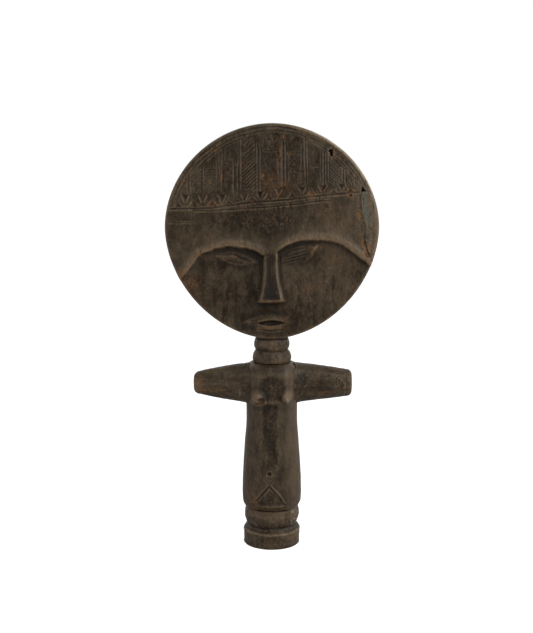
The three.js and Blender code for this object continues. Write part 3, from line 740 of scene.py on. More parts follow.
# Dark upright lines: foot, head and how bold they are
UPRIGHTS = [
    ((-63.8, 27), (-63.9, 38), 0.9), ((-53.8, 27), (-53.5, 45), 0.8),
    ((-41.2, 27), (-41.0, 50), 0.9), ((-36.4, 30), (-36.3, 63), 0.8),
    ((-28.4, 25), (-28.5, 50), 1.5), ((-10.8, 29), (-10.8, 64), 1.2), ((5.1, 44), (5.2, 53), 1.2),
    ((8.3, 31), (8.3, 66), 1.3), ((11.5, 34), (11.3, 56), 0.8), ((53.7, 33), (53.7, 45), 1.3),
    ((-12.9, 27), (-12.6, 66), 0.8), ((22.6, 32), (22.3, 66), 0.7),
]
# Lines along the rim: distance inside it, first and last direction, seed
BORDER = [
    (3.0, 22, 171, 60), (5.9, 24, 168, 61), (8.0, 106, 150, 62), (7.6, 30, 66, 63),
    (9.4, 36, 58, 64), (4.5, 40, 76, 65),
]
# Hatched panels: corners, slope, distance of the cuts, seed, depth and width as shares
PANELS = [
    ((-60.4, 33), (-53.6, 50), 1.05, 2.45, 100, 0.9, 0.85),
    ((-60, 26), (-54.4, 31.4), -0.9, 2.6, 115, 0.5, 0.8),
    ((-23.2, 28.5), (-11.6, 49), 0.93, 2.75, 130, 1.2, 1.0),
    ((-23.2, 51), (-11.8, 67), 0.9, 3.6, 145, 0.75, 0.9),
    ((43.4, 33), (52.0, 51.5), -0.98, 2.25, 160, 0.9, 0.85),
]
HOOKS = [
    [(11.3, 56.4), (17, 55.6), (23.4, 56.2)], [(12.6, 42), (18.6, 43.4), (24, 41.4)],
    [(12.4, 54), (20.4, 45.4)], [(20.8, 54), (12.6, 45.2)], [(13.4, 40.4), (13.2, 34)],
    [(14.6, 38.6), (17.2, 40.6), (20.6, 38.2)], [(20.2, 39), (20.6, 33)],
    [(-7.2, 34), (-2, 34.6), (4.4, 35)], [(-7, 30.6), (-1, 31), (5.6, 31.6)],
    [(-2.2, 52), (-5.2, 41.6)], [(-5.6, 52), (-1.6, 43.6)], [(-3.6, 35.6), (0.2, 32.6)],
    [(-7, 57.5), (5.6, 58.3)], [(29.4, 46), (33, 46.3), (36.8, 46)],
    [(-47.4, 34), (-43.6, 33), (-42.4, 30), (-43.8, 27)],
    [(-49.6, 31), (-46.6, 29.4), (-46.4, 26.6)], [(-50, 36.6), (-45.6, 37), (-41.8, 36)],
    [(-50.4, 43), (-45.6, 43.6), (-41.8, 43)],
    [(-28.2, 27), (-26.9, 23.8), (-24.8, 21.8), (-21.8, 20.5)],
    [(-35, 36), (-31.4, 40), (-30.4, 47)], [(59, 45), (66, 36.4)], [(57.6, 42.5), (64, 34.6)],
    [(60, 47), (68.4, 36)], [(58.4, 37), (61.6, 31.6)], [(62.4, 34.2), (66.6, 29.6)],
    [(67.4, 37), (71.4, 31.2), (73.6, 25)],
]
# Teeth: left and right of the open side, and the point
DOWN_TEETH = [
    ((-69, 25), (-62.8, 25), (-66, 19)), ((-55.8, 24.6), (-49.2, 24.4), (-53, 19)),
    ((-41.4, 25.2), (-34.9, 25.2), (-38, 18.6)), ((-24, 25.4), (-18, 25.4), (-21, 20.4)),
    ((-12.2, 27), (-6.4, 27.2), (-9.4, 22.4)), ((1.4, 29.6), (8, 30), (4.6, 24.8)),
    ((19.2, 30.6), (25.4, 30.6), (22.5, 26.2)), ((34.8, 31.4), (41.6, 31.8), (37.8, 27)),
    ((49.4, 33), (55.4, 32.6), (52.8, 29)),
]
UP_TEETH = [
    ((-74.2, 15), (-68.4, 15), (-71.2, 20)), ((-62.6, 15.2), (-56, 15.2), (-59.6, 20.6)),
    ((-49.2, 15.4), (-41.4, 15.6), (-45.2, 20.6)), ((-36.8, 16.6), (-29.6, 17.4), (-33, 20.6)),
    ((-20, 18.6), (-11, 19.4), (-15.6, 23.4)), ((-6, 20.4), (0.4, 20.8), (-2.8, 25.4)),
    ((11.8, 21.6), (18.2, 22.2), (15, 26.4)), ((26, 23.2), (33.2, 24), (29.6, 28)),
    ((43.4, 25), (49.4, 25.4), (46.4, 28.6)), ((56, 25.8), (62, 26.4), (59, 29.4)),
]
# Worn gouge strokes: middle, spread and how many
CROWN_STROKES = [
    ((-3, 44), (7, 18), 46), ((17, 40), (7, 14), 26), ((-45, 34), (5, 11), 22),
    ((-33, 40), (4, 16), 16), ((-17, 58), (7, 10), 18), ((15, 62), (9, 7), 16),
    ((0, 66), (22, 5), 26), ((-57, 30), (4, 4), 8), ((62, 31), (5, 4), 10), ((0, 25), (30, 4), 30),
    ((-5, 12), (34, 8), 24),
]


def hatching(relief, low, high, slope, pitch, seed, depth, width):
    """Parallel slanting cuts that fill a panel."""
    run = slope * (high[0] - low[0])
    start, k = low[1] - abs(run), 0
    while start < high[1] + abs(run):
        line = evenly(np.array([(low[0], start), (high[0], start + run)], float), 0.5)
        points = line[(low[1] <= line[:, 1]) & (line[:, 1] <= high[1])]
        if len(points) > 4:
            deep = depth * (0.6 + 0.5 * math.sin(seed + 2.3 * k) ** 2)
            relief.scored(points, seed + k, 0.2, width, deep, 0.9, 0.6)
        start += pitch
        k += 1


def carve_teeth(relief, width, depth, notch):
    """Notches that point down and up at the carved band, with thin raised edges."""
    for k, (left, right, point) in enumerate(DOWN_TEETH):
        low = (point[0], point[1] - 1.0)
        relief.chip([left, right, low], notch, 0.15 + 0.2 * (k % 2))
        relief.toned_and_lit(((left[0] + right[0]) / 2, left[1] - 1), (3, 2.4), -0.5)
        # The right-hand edges are made lighter than the left ones: painted highlight where the
        # light falls, on top of wear.
        for side, end, light in ((-0.5, left, 0.5), (0.5, right, 0.95)):
            edge = [(end[0] + side, end[1] + 0.4), (low[0] + 0.7 * side, low[1] - 0.3)]
            light -= 0.25 * ((k + (side > 0)) % 3 == 0)
            relief.bead(by_hand(edge, 70 + k, 0.12), 0.55, 0.22, light)
            relief.groove(np.array(edge) + (2.4 * side, -0.3), 0.9 * width, 0.4 * depth, 1.5, 0.2)
    for k, (left, right, point) in enumerate(UP_TEETH):
        relief.chip([left, right, point], 0.8 * notch, 0.3 + 0.2 * (k % 3 > 0))
        for side, end, seed, rise, light in (
            (-1, left, 90, 0.2, 0.5 + 0.3 * (k % 3)), (1, right, 110, 0.15, 0.4),
        ):
            edge = [(end[0] + 0.4 * side, end[1]), (point[0] + 0.3 * side, point[1] + 0.4)]
            relief.bead(by_hand(edge, seed + k, 0.12), 0.5, rise, light)


def carve_crown(relief, carving):
    """Lines, hatched panels and a row of teeth above the forehead."""
    width, depth = carving.groove_width / MM, carving.groove_depth / MM
    for k, (points, bold) in enumerate(zip(BAND_LINES, (1.25, 1.0, 0.75))):
        relief.curved(points, 10 + k, 0.2, bold * width, 0.85 * bold * depth, 3, 0.8)
        crest = by_hand(flowing(points), 14 + k, 0.2) - (0, 1.15 * bold)
        relief.bead(crest, 0.5, 0.08, 0.5 * bold)
    for k, (foot, head, light) in enumerate(STRAPS):
        line = by_hand([foot, head], 20 + k, 0.22)
        relief.strap(line, 0.95 * width, 0.62 * depth, 0.75 * light, 1.0)
    for points, wide, deep in BENT_STRAPS:
        relief.strap(flowing(points), wide * width, deep * depth, 1.0)
    for k, (foot, head, bold) in enumerate(UPRIGHTS):
        knife = (bold**0.5 * width, 0.85 * bold * depth, 2.5, 0.5)
        relief.scored([foot, head], 40 + k, 0.24, *knife)
    for inset, first, last, seed in BORDER:
        line = rim_line(inset, first, last, 160)
        relief.scored(line, seed, 0.3, 1.05 * width, 0.62 * depth, 4, 0.55)
    carve_teeth(relief, width, depth, carving.notch_depth / MM)
    for *panel, deep, wide in PANELS:
        hatching(relief, *panel, deep * depth, wide * width)
    for k, points in enumerate(HOOKS):
        line = flowing(points) if len(points) > 2 else points
        relief.scored(line, 200 + k, 0.25, 0.95 * width, 0.55 * depth, 1, 0.5)
    for k, place in enumerate(CROWN_STROKES):
        relief.strokes(*place, (1.2, 4.0), (0.8, 1.5), (0.12, 0.4), 240 + k, 0.22)
    relief.chip(SPLIT_HOLE, SPLIT_HOLE_DEPTH)
    each(
        relief.pit, ((44.9, 56), (1.3, 3.2), 3.0), ((44.4, 57.6), (2.0, 1.5), 2.8),
        ((59.6, 24.2), (1.4, 1.2), 1.3, 0.9), ((67.2, 8.6), (2.0, 3.4), 0.7, 1.0),
        ((65.4, 11.4), (1.2, 1.6), 0.5, 0.8), ((66.6, 14.6), (0.9, 1.2), 0.9, 0.3),
        ((70.6, -12.4), (2.4, 4.6), 0.8, 1.0), ((72.4, -19.6), (2.2, 4.2), 1.2, 0.9),
    )
    each(
        relief.strokes,
        ((69, -4), (3.4, 6), 26, (1, 2.6), (0.8, 1.5), (0.2, 0.5), 260, 0.4),
        ((71.6, -17), (3, 7), 24, (1, 2.6), (0.8, 1.5), (0.2, 0.6), 261, 0.7),
        ((67, 20), (3, 9), 18, (1, 3), (0.8, 1.4), (0.15, 0.4), 262, 0.2),
    )


# Where the head is rubbed to bare wood, and where it is lighter or darker: mostly the stain's own
# tone, but painted light from the viewer's right (lighter on that side, darker on the left cheek)
# and painted shade round the eyes and under the nose
HEAD_RUBBED = [
    ((-69, -36), (5, 4), 0.7), ((-64, -44), (9, 7), 0.5), ((-55, -20.5), (3, 2.2), 0.9),
    ((6.2, 56), (1.0, 5.5), 0.95), ((8.3, 68), (1.5, 1.7), 1.0), ((6, 47), (1.4, 3), 0.6),
    ((-7, 38.2), (1.5, 2.2), 1.0), ((4, 24.8), (1.2, 3), 0.9), ((2.6, 28.2), (1.8, 1), 0.8),
    ((28, -46), (2.4, 3), 0.5), ((72.2, -17), (2.0, 6), 0.9), ((-38.4, 40), (1.0, 8), 0.7),
    ((10, -70), (5, 2.4), 0.35), ((42, 12), (8, 7), 0.22), ((2, 34), (16, 9), 0.3),
    ((46, -20), (16, 12), 0.12), ((69, 9), (1.8, 3), 0.9), ((-23.8, 48), (1.0, 4), 0.5),
    ((-45, 17.2), (3.4, 1.8), 0.7), ((29.6, 24.8), (3.6, 1.4), 0.9),
    ((57.4, 27.2), (1.4, 2.4), 0.9), ((-22, 13.8), (4, 1), 0.5), ((-67.6, 33.6), (1.2, 1.4), 0.8),
    ((-43.6, 57.4), (3, 1.1), 0.6), ((-64.6, 33), (1, 3), 0.6), ((12, 55.8), (3, 0.9), 0.7),
    ((47.5, 54), (3.6, 1.8), 0.35),
]
HEAD_TONES = [
    ((0, 46), (44, 32), -0.68), ((-2, 5), (34, 12), -0.42), ((0, -12), (14, 14), -0.2),
    ((-27, -24.6), (14, 4), -0.5), ((18, -21), (12, 6), -0.6), ((-30, -45), (5, 5), -0.25),
    ((-60, 8), (20, 22), -0.04), ((48, 10), (22, 16), 0.2), ((34, -46), (34, 24), 0.12),
    ((-30, -50), (22, 20), -0.18), ((0, -63), (22, 9), -0.42), ((0, -80), (20, 6), -0.45),
    ((-38, -46), (24, 20), -0.2), ((-26, -22), (18, 7), -0.2), ((22, -19), (13, 7), -0.25),
    ((52, -8), (26, 7), 0.12), ((0, -71.5), (19, 6.5), -0.42), ((64, 34), (12, 14), 0.18),
    ((-66, 36), (12, 16), 0.1), ((33, 50), (5, 14), 0.1),
]
CHEEK_CRACKS = [
    [(24, -32), (23, -45), (25, -59)], [(28.6, -38), (27.6, -50), (28.2, -63)],
    [(33, -33), (32.4, -48)], [(18.6, -44), (19.4, -58)], [(-41, -40), (-40.4, -54)],
    [(-21, -44), (-21.6, -60)],
]
# Pale specks beside the nose: middle, spread and how many
NOSE_SPECKS = [((11.6, -46), (2, 8), 10), ((-11.6, -46), (2, 8), 5), ((18, -52), (6, 9), 4)]


def weather_head(relief, carving):
    """Tool marks, shrinkage lines, nicks, the tone of the stain with painted light and shade, and
    rubbed places.
    """
    u, v = relief.across, relief.up
    marks = carving.tool_marks / MM
    relief.height += marks * relief.noises((1.0, 9, 18, 301), (0.6, 3.6, 6, 302))
    relief.height += marks * relief.noises((0.35, 1.5, 2.4, 308), (0.25, 0.9, 1.6, 303))
    cracks = unit(relief.noise(0.8, 12, 305) - 0.7) * 1.3
    rough = swell((u + 1) / 24, (v - 6) / 13) + 0.7 * swell((u - 27) / 11, (v + 47) / 19)
    pocks = unit(relief.noises((0.6, 1.6, 2.6, 309), (0.6, 3.4, 5, 310)) - 0.12)
    relief.lift("cuts", Ellipsis, 0.45 * cracks)
    relief.lift("cuts", Ellipsis, 0.7 * pocks * rough)
    random = np.random.default_rng(306)
    for _ in range(220):
        place = random.uniform((-78, -80), (78, 74))
        if inside_rim(*place) > 2:
            size = random.uniform(0.25, 0.8)
            radii = (size, size * random.uniform(1, 2.2))
            relief.pit(place, radii, random.uniform(0.1, 0.4), 0.35 * (size > 0.6))
    each(relief.rubbed, *HEAD_RUBBED)
    for middle, spread, count in NOSE_SPECKS:
        for place in middle + random.normal(0, 0.6, (count, 2)) * spread:
            radii = (random.uniform(0.3, 0.5), random.uniform(0.3, 0.6))
            relief.paled_and_lit(place, radii, random.uniform(0.15, 0.45))
    each(
        relief.strokes,
        ((2, 7), (26, 7), 60, (1.4, 5), (1.0, 1.9), (0.06, 0.22), 350, 0.12),
        ((-30, -16.2), (34, 1.6), 40, (1.5, 3.6), (0.8, 1.4), (0.1, 0.3), 351, 0.4),
        ((38, -9), (28, 2.2), 30, (1.5, 3.6), (0.8, 1.4), (0.08, 0.2), 352, 0.2),
        ((27, -46), (12, 18), 40, (2, 8), (0.7, 1.2), (0.1, 0.25), 353, 0.1),
        ((-34, -44), (22, 16), 30, (1.2, 4), (0.7, 1.2), (0.08, 0.2), 354, 0.1),
    )
    for k, crack in enumerate(CHEEK_CRACKS):
        relief.scored(crack, 360 + k, 0.5, 0.8, 0.22, 6, 0.4)
    each(relief.toned_and_lit, *HEAD_TONES)
    relief.faded += relief.noises((0.14, 16, 22, 321), (0.16, 6, 9, 322), (0.12, 2.6, 4, 323))
    relief.faded += 0.1 * relief.noise(30, 16, 325)
    drips = unit(relief.noise(2.4, 12, 324) * 1.5 - 0.3) * eased(-v, 8, 24)
    relief.faded -= 0.35 * drips
    for x in np.arange(-66, 74, 2.3):
        y = looked_up(BROW_LINE, x)
        if abs(x) > 8 and random.uniform() < 0.6:
            tall = random.uniform(2.2, 4.8)
            cut = [(x, y + 0.4), (x + random.uniform(-0.6, 0.6), y + tall)]
            relief.scored(cut, int(x + 500), 0.1, 1.2, 0.12, 1.5, 0.3)


def head_relief(pitch):
    """A blank relief over the whole disc of the head."""
    reach = HALF_WIDTH + 1
    return Relief((-reach, -CHIN_DROP - 1), (reach, CROWN_RISE + 1), pitch)


def head_front_relief(head, carving):
    """The whole front of the head, as heights above its plane."""
    relief = head_relief(FINE_CELL)
    carve_face(relief, head)
    carve_crown(relief, carving)
    weather_head(relief, carving)
    u, v = relief.across, relief.up
    inside = inside_rim(u, v)
    relief.finish(carving.lip_rise / MM, 0.42)
    # Painted highlight along the rounded rim: the edge is made lighter, partly as wear, and a pale
    # cream band runs along it, strongest at the upper right where the light falls.
    turned = np.degrees(np.arctan2(v, u))
    upper_right = eased(turned, 8, 22) * (1 - eased(turned, 70, 92))
    edge = 1 - eased(inside, 0.6 + 0.9 * upper_right, 2.2 + 1.2 * upper_right)
    relief.worn = unit(relief.worn + (0.45 + 0.55 * upper_right) * edge)
    relief.hollow *= 1 - edge
    relief.worn *= 1 - 0.5 * swell(u / 13, (v + 42) / 22)
    relief.worn *= 1 - 0.45 * swell((np.abs(u) - 24) / 15, (v + 24) / 7)
    relief.worn *= 1 - 0.35 * swell(u / 44, (v - 46) / 30)
    rim_highlight = (1 - eased(inside, 0.5, 1.7)) * unit(0.75 + 0.5 * relief.noise(6, 6, 355))
    relief.pale = unit(relief.pale + rim_highlight * (0.12 + 0.75 * upper_right * eased(u, 20, 44)))
    return relief


def head_back_relief(carving):
    """The plain back of the head: broad knife facets and grain."""
    relief = head_relief(BROAD_CELL)
    marks = carving.tool_marks / MM
    relief.height += marks * relief.noises((1.4, 12, 30, 311), (0.6, 5, 14, 312))
    relief.height += marks * 0.3 * relief.noise(1.0, 9, 313)
    relief.cuts = 0.4 * unit(relief.noise(0.9, 16, 314) - 0.72)
    relief.rubbed((0, 0), (60, 55), 0.12)
    relief.finish(carving.lip_rise / MM)
    edge = 1 - eased(inside_rim(relief.across, relief.up), 0.6, 3.0)
    relief.worn = unit(relief.worn + 0.5 * edge)
    return relief


def head_surface(front, back, place, share):
    """Front and back heights of the head at places given by turn and share of its reach."""
    angle = 2 * np.pi * place
    rim = rim_reach(angle)
    torn = split_line(-1)
    torn_angle = np.arctan2(torn[:, 1], torn[:, 0])
    turned = (angle + np.pi) % (2 * np.pi) - np.pi
    at_split = np.interp(turned, torn_angle, np.hypot(*torn.T), left=1e3, right=1e3)
    reach = np.minimum(rim, at_split)
    u, v = share * reach * np.cos(angle), share * reach * np.sin(angle)
    inside = rim - share * reach
    face = front.read(front.face, u, v)
    rounding = RIM_ROUNDING + (FACE_ROUNDING - RIM_ROUNDING) * face
    by_split = np.where(at_split < rim, rim_loss((1 - share) * reach, SPLIT_ROUNDING), 0)
    over = front.read(front.height, u, v) - rim_loss(inside, rounding) - by_split
    under = -head_back(u, v) + rim_loss(inside, RIM_ROUNDING) + 0.5 * by_split
    return u, v, over, under - back.read(back.height, u, v)


def kept_to_face(marks, w):
    """Fades the pale and worn marks of a front where the piece turns away from it."""
    near_face = eased(w, 2.0, 4.6)
    marks["pale"] *= near_face
    marks["worn"] *= 0.35 + 0.65 * near_face
    return near_face


def carve_head(head, carving, material):
    """The head in one closed skin: carved front, rounded rim, plain back and the stub below."""
    front, back = head_front_relief(head, carving), head_back_relief(carving)
    count = 2 * int(round(HALF_WIDTH / (2 * carving.head_mesh / MM * ROUGH_OUT)))
    around, walls = 6 * count, 7
    share, place, front_web = web_of_rings(count)
    u, v, over, _ = head_surface(front, back, place, share)
    points, triangles = [np.stack([u, v, over], -1)], [front_web]
    above = np.arange(len(u) - around, len(u))
    total = len(u)
    eu, ev, top, bottom = head_surface(front, back, place[above], np.ones(around))
    wave = grown_noise((walls + 1, around), (3, 90), 321, around=True)
    for k in range(1, walls + 1):
        depth = top + (bottom - top) * k / walls
        inward = 1 + (-0.0012 - 0.0022 * wave[k]) * math.sin(math.pi * k / walls)
        points.append(np.stack([eu * inward, ev * inward, depth], -1))
        below = total + np.arange(around)
        total += around
        triangles.append(quads(above, below, np.roll(below, -1), np.roll(above, -1)))
        above = below
    share, place, back_web = web_of_rings(count // 2)
    u, v, _, under = head_surface(front, back, place, share)
    rim_start = len(u) - around // 2
    points.append(np.stack([u, v, under], -1)[:rim_start])
    on_wall = above[(2 * (back_web - rim_start)) % around]
    back_web = np.where(back_web >= rim_start, on_wall, back_web + total)
    even, odd = above[0::2], above[1::2]
    triangles += [back_web[:, ::-1], np.stack([even, np.roll(even, -1), odd], -1)]
    local = np.vstack(points)
    stub_points, stub_triangles = joined_rings(head_stub())
    skin = np.vstack([from_head_frame(*local.T), stub_points])
    web = np.concatenate(triangles + [stub_triangles + len(local)])
    piece = thinned(closed_mesh("carved_head", skin, web), rough_count(carving.most_faces))
    u, v, w = in_head_frame(points_of(piece))
    faces, behind = front.marks(u, v), back.marks(u, v)
    kept_to_face(faces, w)
    marks = {name: np.where(w > -1.0, faces[name], behind[name]) for name in faces}
    return installed(marked(piece, marks), material, "stained_wood", "head")


def head_stub():
    """The short neck that carries the head, from its flat seat into the disc."""
    base = box_mm("head")[0][2]
    low, high = box_mm("neck_ring_lower")
    flatness = ((high[1] - low[1]) / 2, (high[0] - low[0]) / 2)
    angle = 2 * np.pi * np.arange(96) / 96
    outline = (
        (2, 0), (8, 0), (STUB_RADIUS - 0.5, 0), (STUB_RADIUS, 0.5), (STUB_RADIUS - 0.6, 2),
        (10, 7), (STUB_TOP_RADIUS, STUB_HEIGHT), (3, STUB_HEIGHT),
    )
    rings = []
    for radius, height in outline:
        x, y = radius * np.cos(angle), radius * np.sin(angle) * flatness[0] / flatness[1]
        rings.append(np.stack([x, y, np.full(96, base + height)], -1))
    return np.array(rings)


def sliver_relief(carving):
    """What the mended sliver shows: the ends of the border lines, grain, worn and bare places, and
    a painted highlight along its upper rim.
    """
    relief = Relief((56, -34), (HALF_WIDTH + 1, 46), FINE_CELL)
    u, v = relief.across, relief.up
    inside = inside_rim(u, v)
    marks = carving.tool_marks / MM
    relief.height += marks * relief.noises((0.9, 2.5, 14, 334), (0.6, 1.2, 4, 335))
    for inset, first, seed in ((1.8, 16, 336), (3.4, 18, 337), (5.2, 21, 338)):
        relief.scored(rim_line(inset, first, 33, 60), seed, 0.2, 1.2, 0.4, 5, 0.9)
    relief.chip(SPLIT_HOLE, SPLIT_HOLE_DEPTH)
    relief.scored([(69.4, 24), (69.0, 16)], 345, 0.3, 1.2, 0.5, 3, 0.2)
    relief.strokes((75, 4), (3.4, 16), 50, (2, 9), (0.8, 1.4), (0.06, 0.22), 339, 0.12)
    relief.strokes((75, -14), (3, 8), 26, (1, 3), (0.8, 1.4), (0.1, 0.35), 340, 0.5)
    each(
        relief.rubbed, ((73.2, -15), (1.6, 5), 0.8), ((78.6, -14), (2, 6), 0.35),
        ((80, 6), (1.4, 9), 0.35), ((76, -22), (2, 4), 0.5),
    )
    relief.faded += 0.1 + relief.noises((0.16, 4, 12, 341), (0.16, 1.6, 4, 342))
    relief.faded += 0.3 * (1 - eased(inside, 1.2, 4.5)) - 0.16 * eased(v, 22, 34)
    relief.finish(carving.lip_rise / MM, 0.4)
    relief.worn = unit(relief.worn + 0.5 * (1 - eased(inside, 0.6, 2.2)))
    # Painted highlight: a pale band along the upper part of the rim, where the light falls.
    upper = eased(v, 16, 34) * (1 - eased(inside, 0.5, 1.6))
    relief.pale = unit(relief.pale + 0.6 * upper)
    grey = swell((v - 11 + 0.8 * (u - 72)) / 19) * eased(inside, 1.5, 6.5)
    mottle = relief.noises((0.5, 2.4, 9, 343), (0.3, 1.2, 3, 344))
    relief.dusty = unit(grey * (0.95 + mottle))
    return relief


def mend_rim(carving, material):
    """The sliver of the rim that lies beyond the split, rounded a little where it was fitted."""
    face = sliver_relief(carving)
    inner = evenly(split_line(1), 0.5 * ROUGH_OUT)
    inner = inner[inside_rim(*inner.T) > 0.25]
    angle = np.arctan2(inner[:, 1], inner[:, 0])
    rim = rim_reach(angle)
    outer = np.stack([rim * np.cos(angle), rim * np.sin(angle)], -1)
    ends = ([0, 0.02, 0.05], [0.9, 0.94, 0.965, 0.98, 0.99, 1])
    across = np.concatenate([ends[0], np.linspace(0.09, 0.86, 26), ends[1]])
    down = np.linspace(0, 1, 8)[1:-1]
    rings = []
    for start, end in zip(inner, outer):
        u, v = (start + (end - start) * across[:, None]).T
        width = np.hypot(*(end - start))
        soft = rim_loss(across * width, min(SPLIT_ROUNDING, 0.4 * width))
        soft = soft + rim_loss((1 - across) * width, min(RIM_ROUNDING, 0.6 * width))
        dome = FRONT_RISE - FRONT_CROWN * share_of_reach(u, v) ** 2
        over = dome - soft + face.read(face.height, u, v)
        under = -head_back(u, v) + soft
        walls = [
            np.stack(np.broadcast_arrays(u[k], v[k], first[k] + (last[k] - first[k]) * down), -1)
            for k, first, last in ((-1, over, under), (0, under, over))
        ]
        front, back = np.stack([u, v, over], -1), np.stack([u, v, under], -1)[::-1]
        rings.append(np.vstack([front, walls[0], back, walls[1]])[::-1])
    local, triangles = joined_rings(np.array(rings))
    piece = closed_mesh("mended_rim_strip", from_head_frame(*local.T), triangles)
    piece = thinned(piece, 40000)
    u, v, w = in_head_frame(points_of(piece))
    marks = face.marks(u, v)
    marks["faded"] -= 0.25 * (1 - kept_to_face(marks, w))
    marks["dusty"] = face.read(face.dusty, u, v)
    # Painted shade on the split faces, in the narrow gap between the sliver and the head.
    side = (np.abs(w) < 0.5) * (np.abs(inside_rim(u, v)) > 1)
    marks["hollow"] = unit(marks["hollow"] + 0.5 * side)
    return installed(marked(piece, marks), material, "mended_wood", "mended_rim")


# Torso, arms, rings and foot

ARM_GIRTH = 13
ARM_ROOT_HALF = 16.4
ARM_FLATNESS = 22 / 31.8
# Each arm: half height of its end, rounding of the end, taper and how far its root is raised
ARMS = {"arm_left": (9.2, 5.0, 2.0, 0.3), "arm_right": (10.6, 4.0, 1.75, 0.7)}
TORSO_LOW, TORSO_HIGH = box_mm("torso")
TORSO_BASE = TORSO_LOW[2]
TORSO_WIDE = (TORSO_HIGH[0] - TORSO_LOW[0]) / 2
TORSO_RATIO = TORSO_HIGH[1] / TORSO_WIDE
TORSO_SQUARENESS = 2.5
TORSO_HEM = [(0.7, 0), (20.2, 0), (22.2, 3.4), (22.75, 4.6), (22.95, 6)]
TORSO_OUTLINE = [
    (22.8, 4.2), (23.2, 12), (22.9, 24), (22.2, 37), (21.2, 52), (20.1, 64), (19.8, 70.7),
    (19.8, 84), (19.8, 100), (19.8, 109),
]
# Outlines from below to above: radius and height above the piece's lower face
LOWER_RING = [(14.5, 0), (15.1, 2.0), (15.1, 4.2), (14.3, 7), (12.5, 9.5)]
UPPER_RING = [(12.5, 0), (13.5, 2.4), (13.8, 4.8), (13.5, 7), (12.8, 9)]
WAIST_BEAD = [(19.4, 0), (20.8, 3), (21.6, 6.5), (21.2, 10.4), (20.6, 13.7)]
FOOT_SIDE = [(22.1, 6), (22.1, 11.9), (21.7, 12.9), (20.6, 14.5), (19.4, 16.3)]


def unrolled(low, high, radius):
    """A relief for a surface that goes round the Z axis, measured along its girth at a radius."""
    return Relief((-math.pi * radius, low), (math.pi * radius, high), CELL)


def knife_facets(angle, height, seed, count, depth):
    """Flats that a knife leaves on a round form: lower between their edges' middles."""
    random = np.random.default_rng(seed)
    shifts = np.sort(random.uniform(-0.3, 0.3, count) + np.arange(count)) * 2 * np.pi / count
    edges = np.concatenate([shifts, shifts[:1] + 2 * np.pi])
    leaning = 0.6 * np.sin(height * 0.05 + seed) * 0.2
    turned = (angle + leaning - edges[0]) % (2 * np.pi) + edges[0]
    place = np.clip(np.searchsorted(edges, turned, side="right") - 1, 0, count - 1)
    left, right = edges[place], edges[place + 1]
    middle, half = (left + right) / 2, (right - left) / 2
    return depth * (((turned - middle) / half) ** 2 - 0.4) * (half * count / np.pi) ** 2


def turned_piece(name, outline, section, most, shape):
    """A form that goes round Z, from an outline of (radius, height), a section and a shaping."""
    outline = evenly(np.asarray(outline, float), 0.38 * ROUGH_OUT)
    outline = outline[outline[:, 0] > 0.6]
    columns = int(2 * np.pi * outline[:, 0].max() / (0.4 * ROUGH_OUT))
    angle = 2 * np.pi * np.arange(columns) / columns - np.pi
    rings = []
    for radius, height in outline:
        x, y = section(angle, radius)
        rings.append(np.stack([x, y, np.full(columns, height)], -1))
    return thinned(closed_mesh(name, *joined_rings(shape(np.array(rings)))), rough_count(most))


def round_marks(relief, points, depth_ratio, girth):
    """Marks of an unrolled relief at points of a piece that goes round Z."""
    angle = np.arctan2(points[:, 0], -points[:, 1] / depth_ratio)
    return relief.marks(angle * girth, points[:, 2])


def pushed(rings, relief, depth_ratio, girth):
    """Moves the sides of a turned form outward by a relief, and leaves its flat ends."""
    x, y, z = rings[..., 0], rings[..., 1], rings[..., 2]
    angle = np.arctan2(x, -y / depth_ratio)
    radius = np.hypot(x, y / depth_ratio)
    side = eased(radius, 0.55 * radius.max(), 0.8 * radius.max())
    by_ends = eased(np.minimum(z - z.min(), z.max() - z), -0.4, 1.2)
    rise = relief.read(relief.height, angle * girth, z) * side * by_ends
    out = np.stack([x, y, np.zeros_like(x)], -1)
    out /= np.maximum(np.linalg.norm(out, axis=-1, keepdims=True), 1e-6)
    return rings + out * rise[..., None]


def turned_relief(low, high, girth, carving, seed, facets, facet_depth):
    """Facets, tool marks, grain and nicks round a small turned form."""
    relief = unrolled(low, high, girth)
    marks = carving.tool_marks / MM
    relief.height += knife_facets(relief.across / girth, relief.up, seed, facets, facet_depth)
    layers = ((1.2, 6, 4, seed + 1, True), (0.8, 2.4, 2, seed + 2, True))
    relief.height += marks * relief.noises(*layers)
    relief.faded += relief.noises((0.3, 6, 4, seed + 5, True), (0.22, 2.6, 2.2, seed + 6, True))
    pocks = unit(relief.noise(1.8, 1.8, seed + 8, True) - 0.35)
    relief.height += marks * 0.3 * relief.noise(0.7, 5, seed + 3, True)
    cracks = unit(relief.noise(0.7, 9, seed + 4, True) - 0.7)
    relief.cuts = np.maximum(0.5 * cracks, 0.5 * pocks)
    random = np.random.default_rng(seed)
    for _ in range(int(girth * (high - low) / 14)):
        place = (random.uniform(-3, 3) * girth, random.uniform(low, high))
        size = random.uniform(0.25, 0.8)
        relief.pit(place, (size, size), random.uniform(0.1, 0.45), 0.5 * (size > 0.55))
    return relief


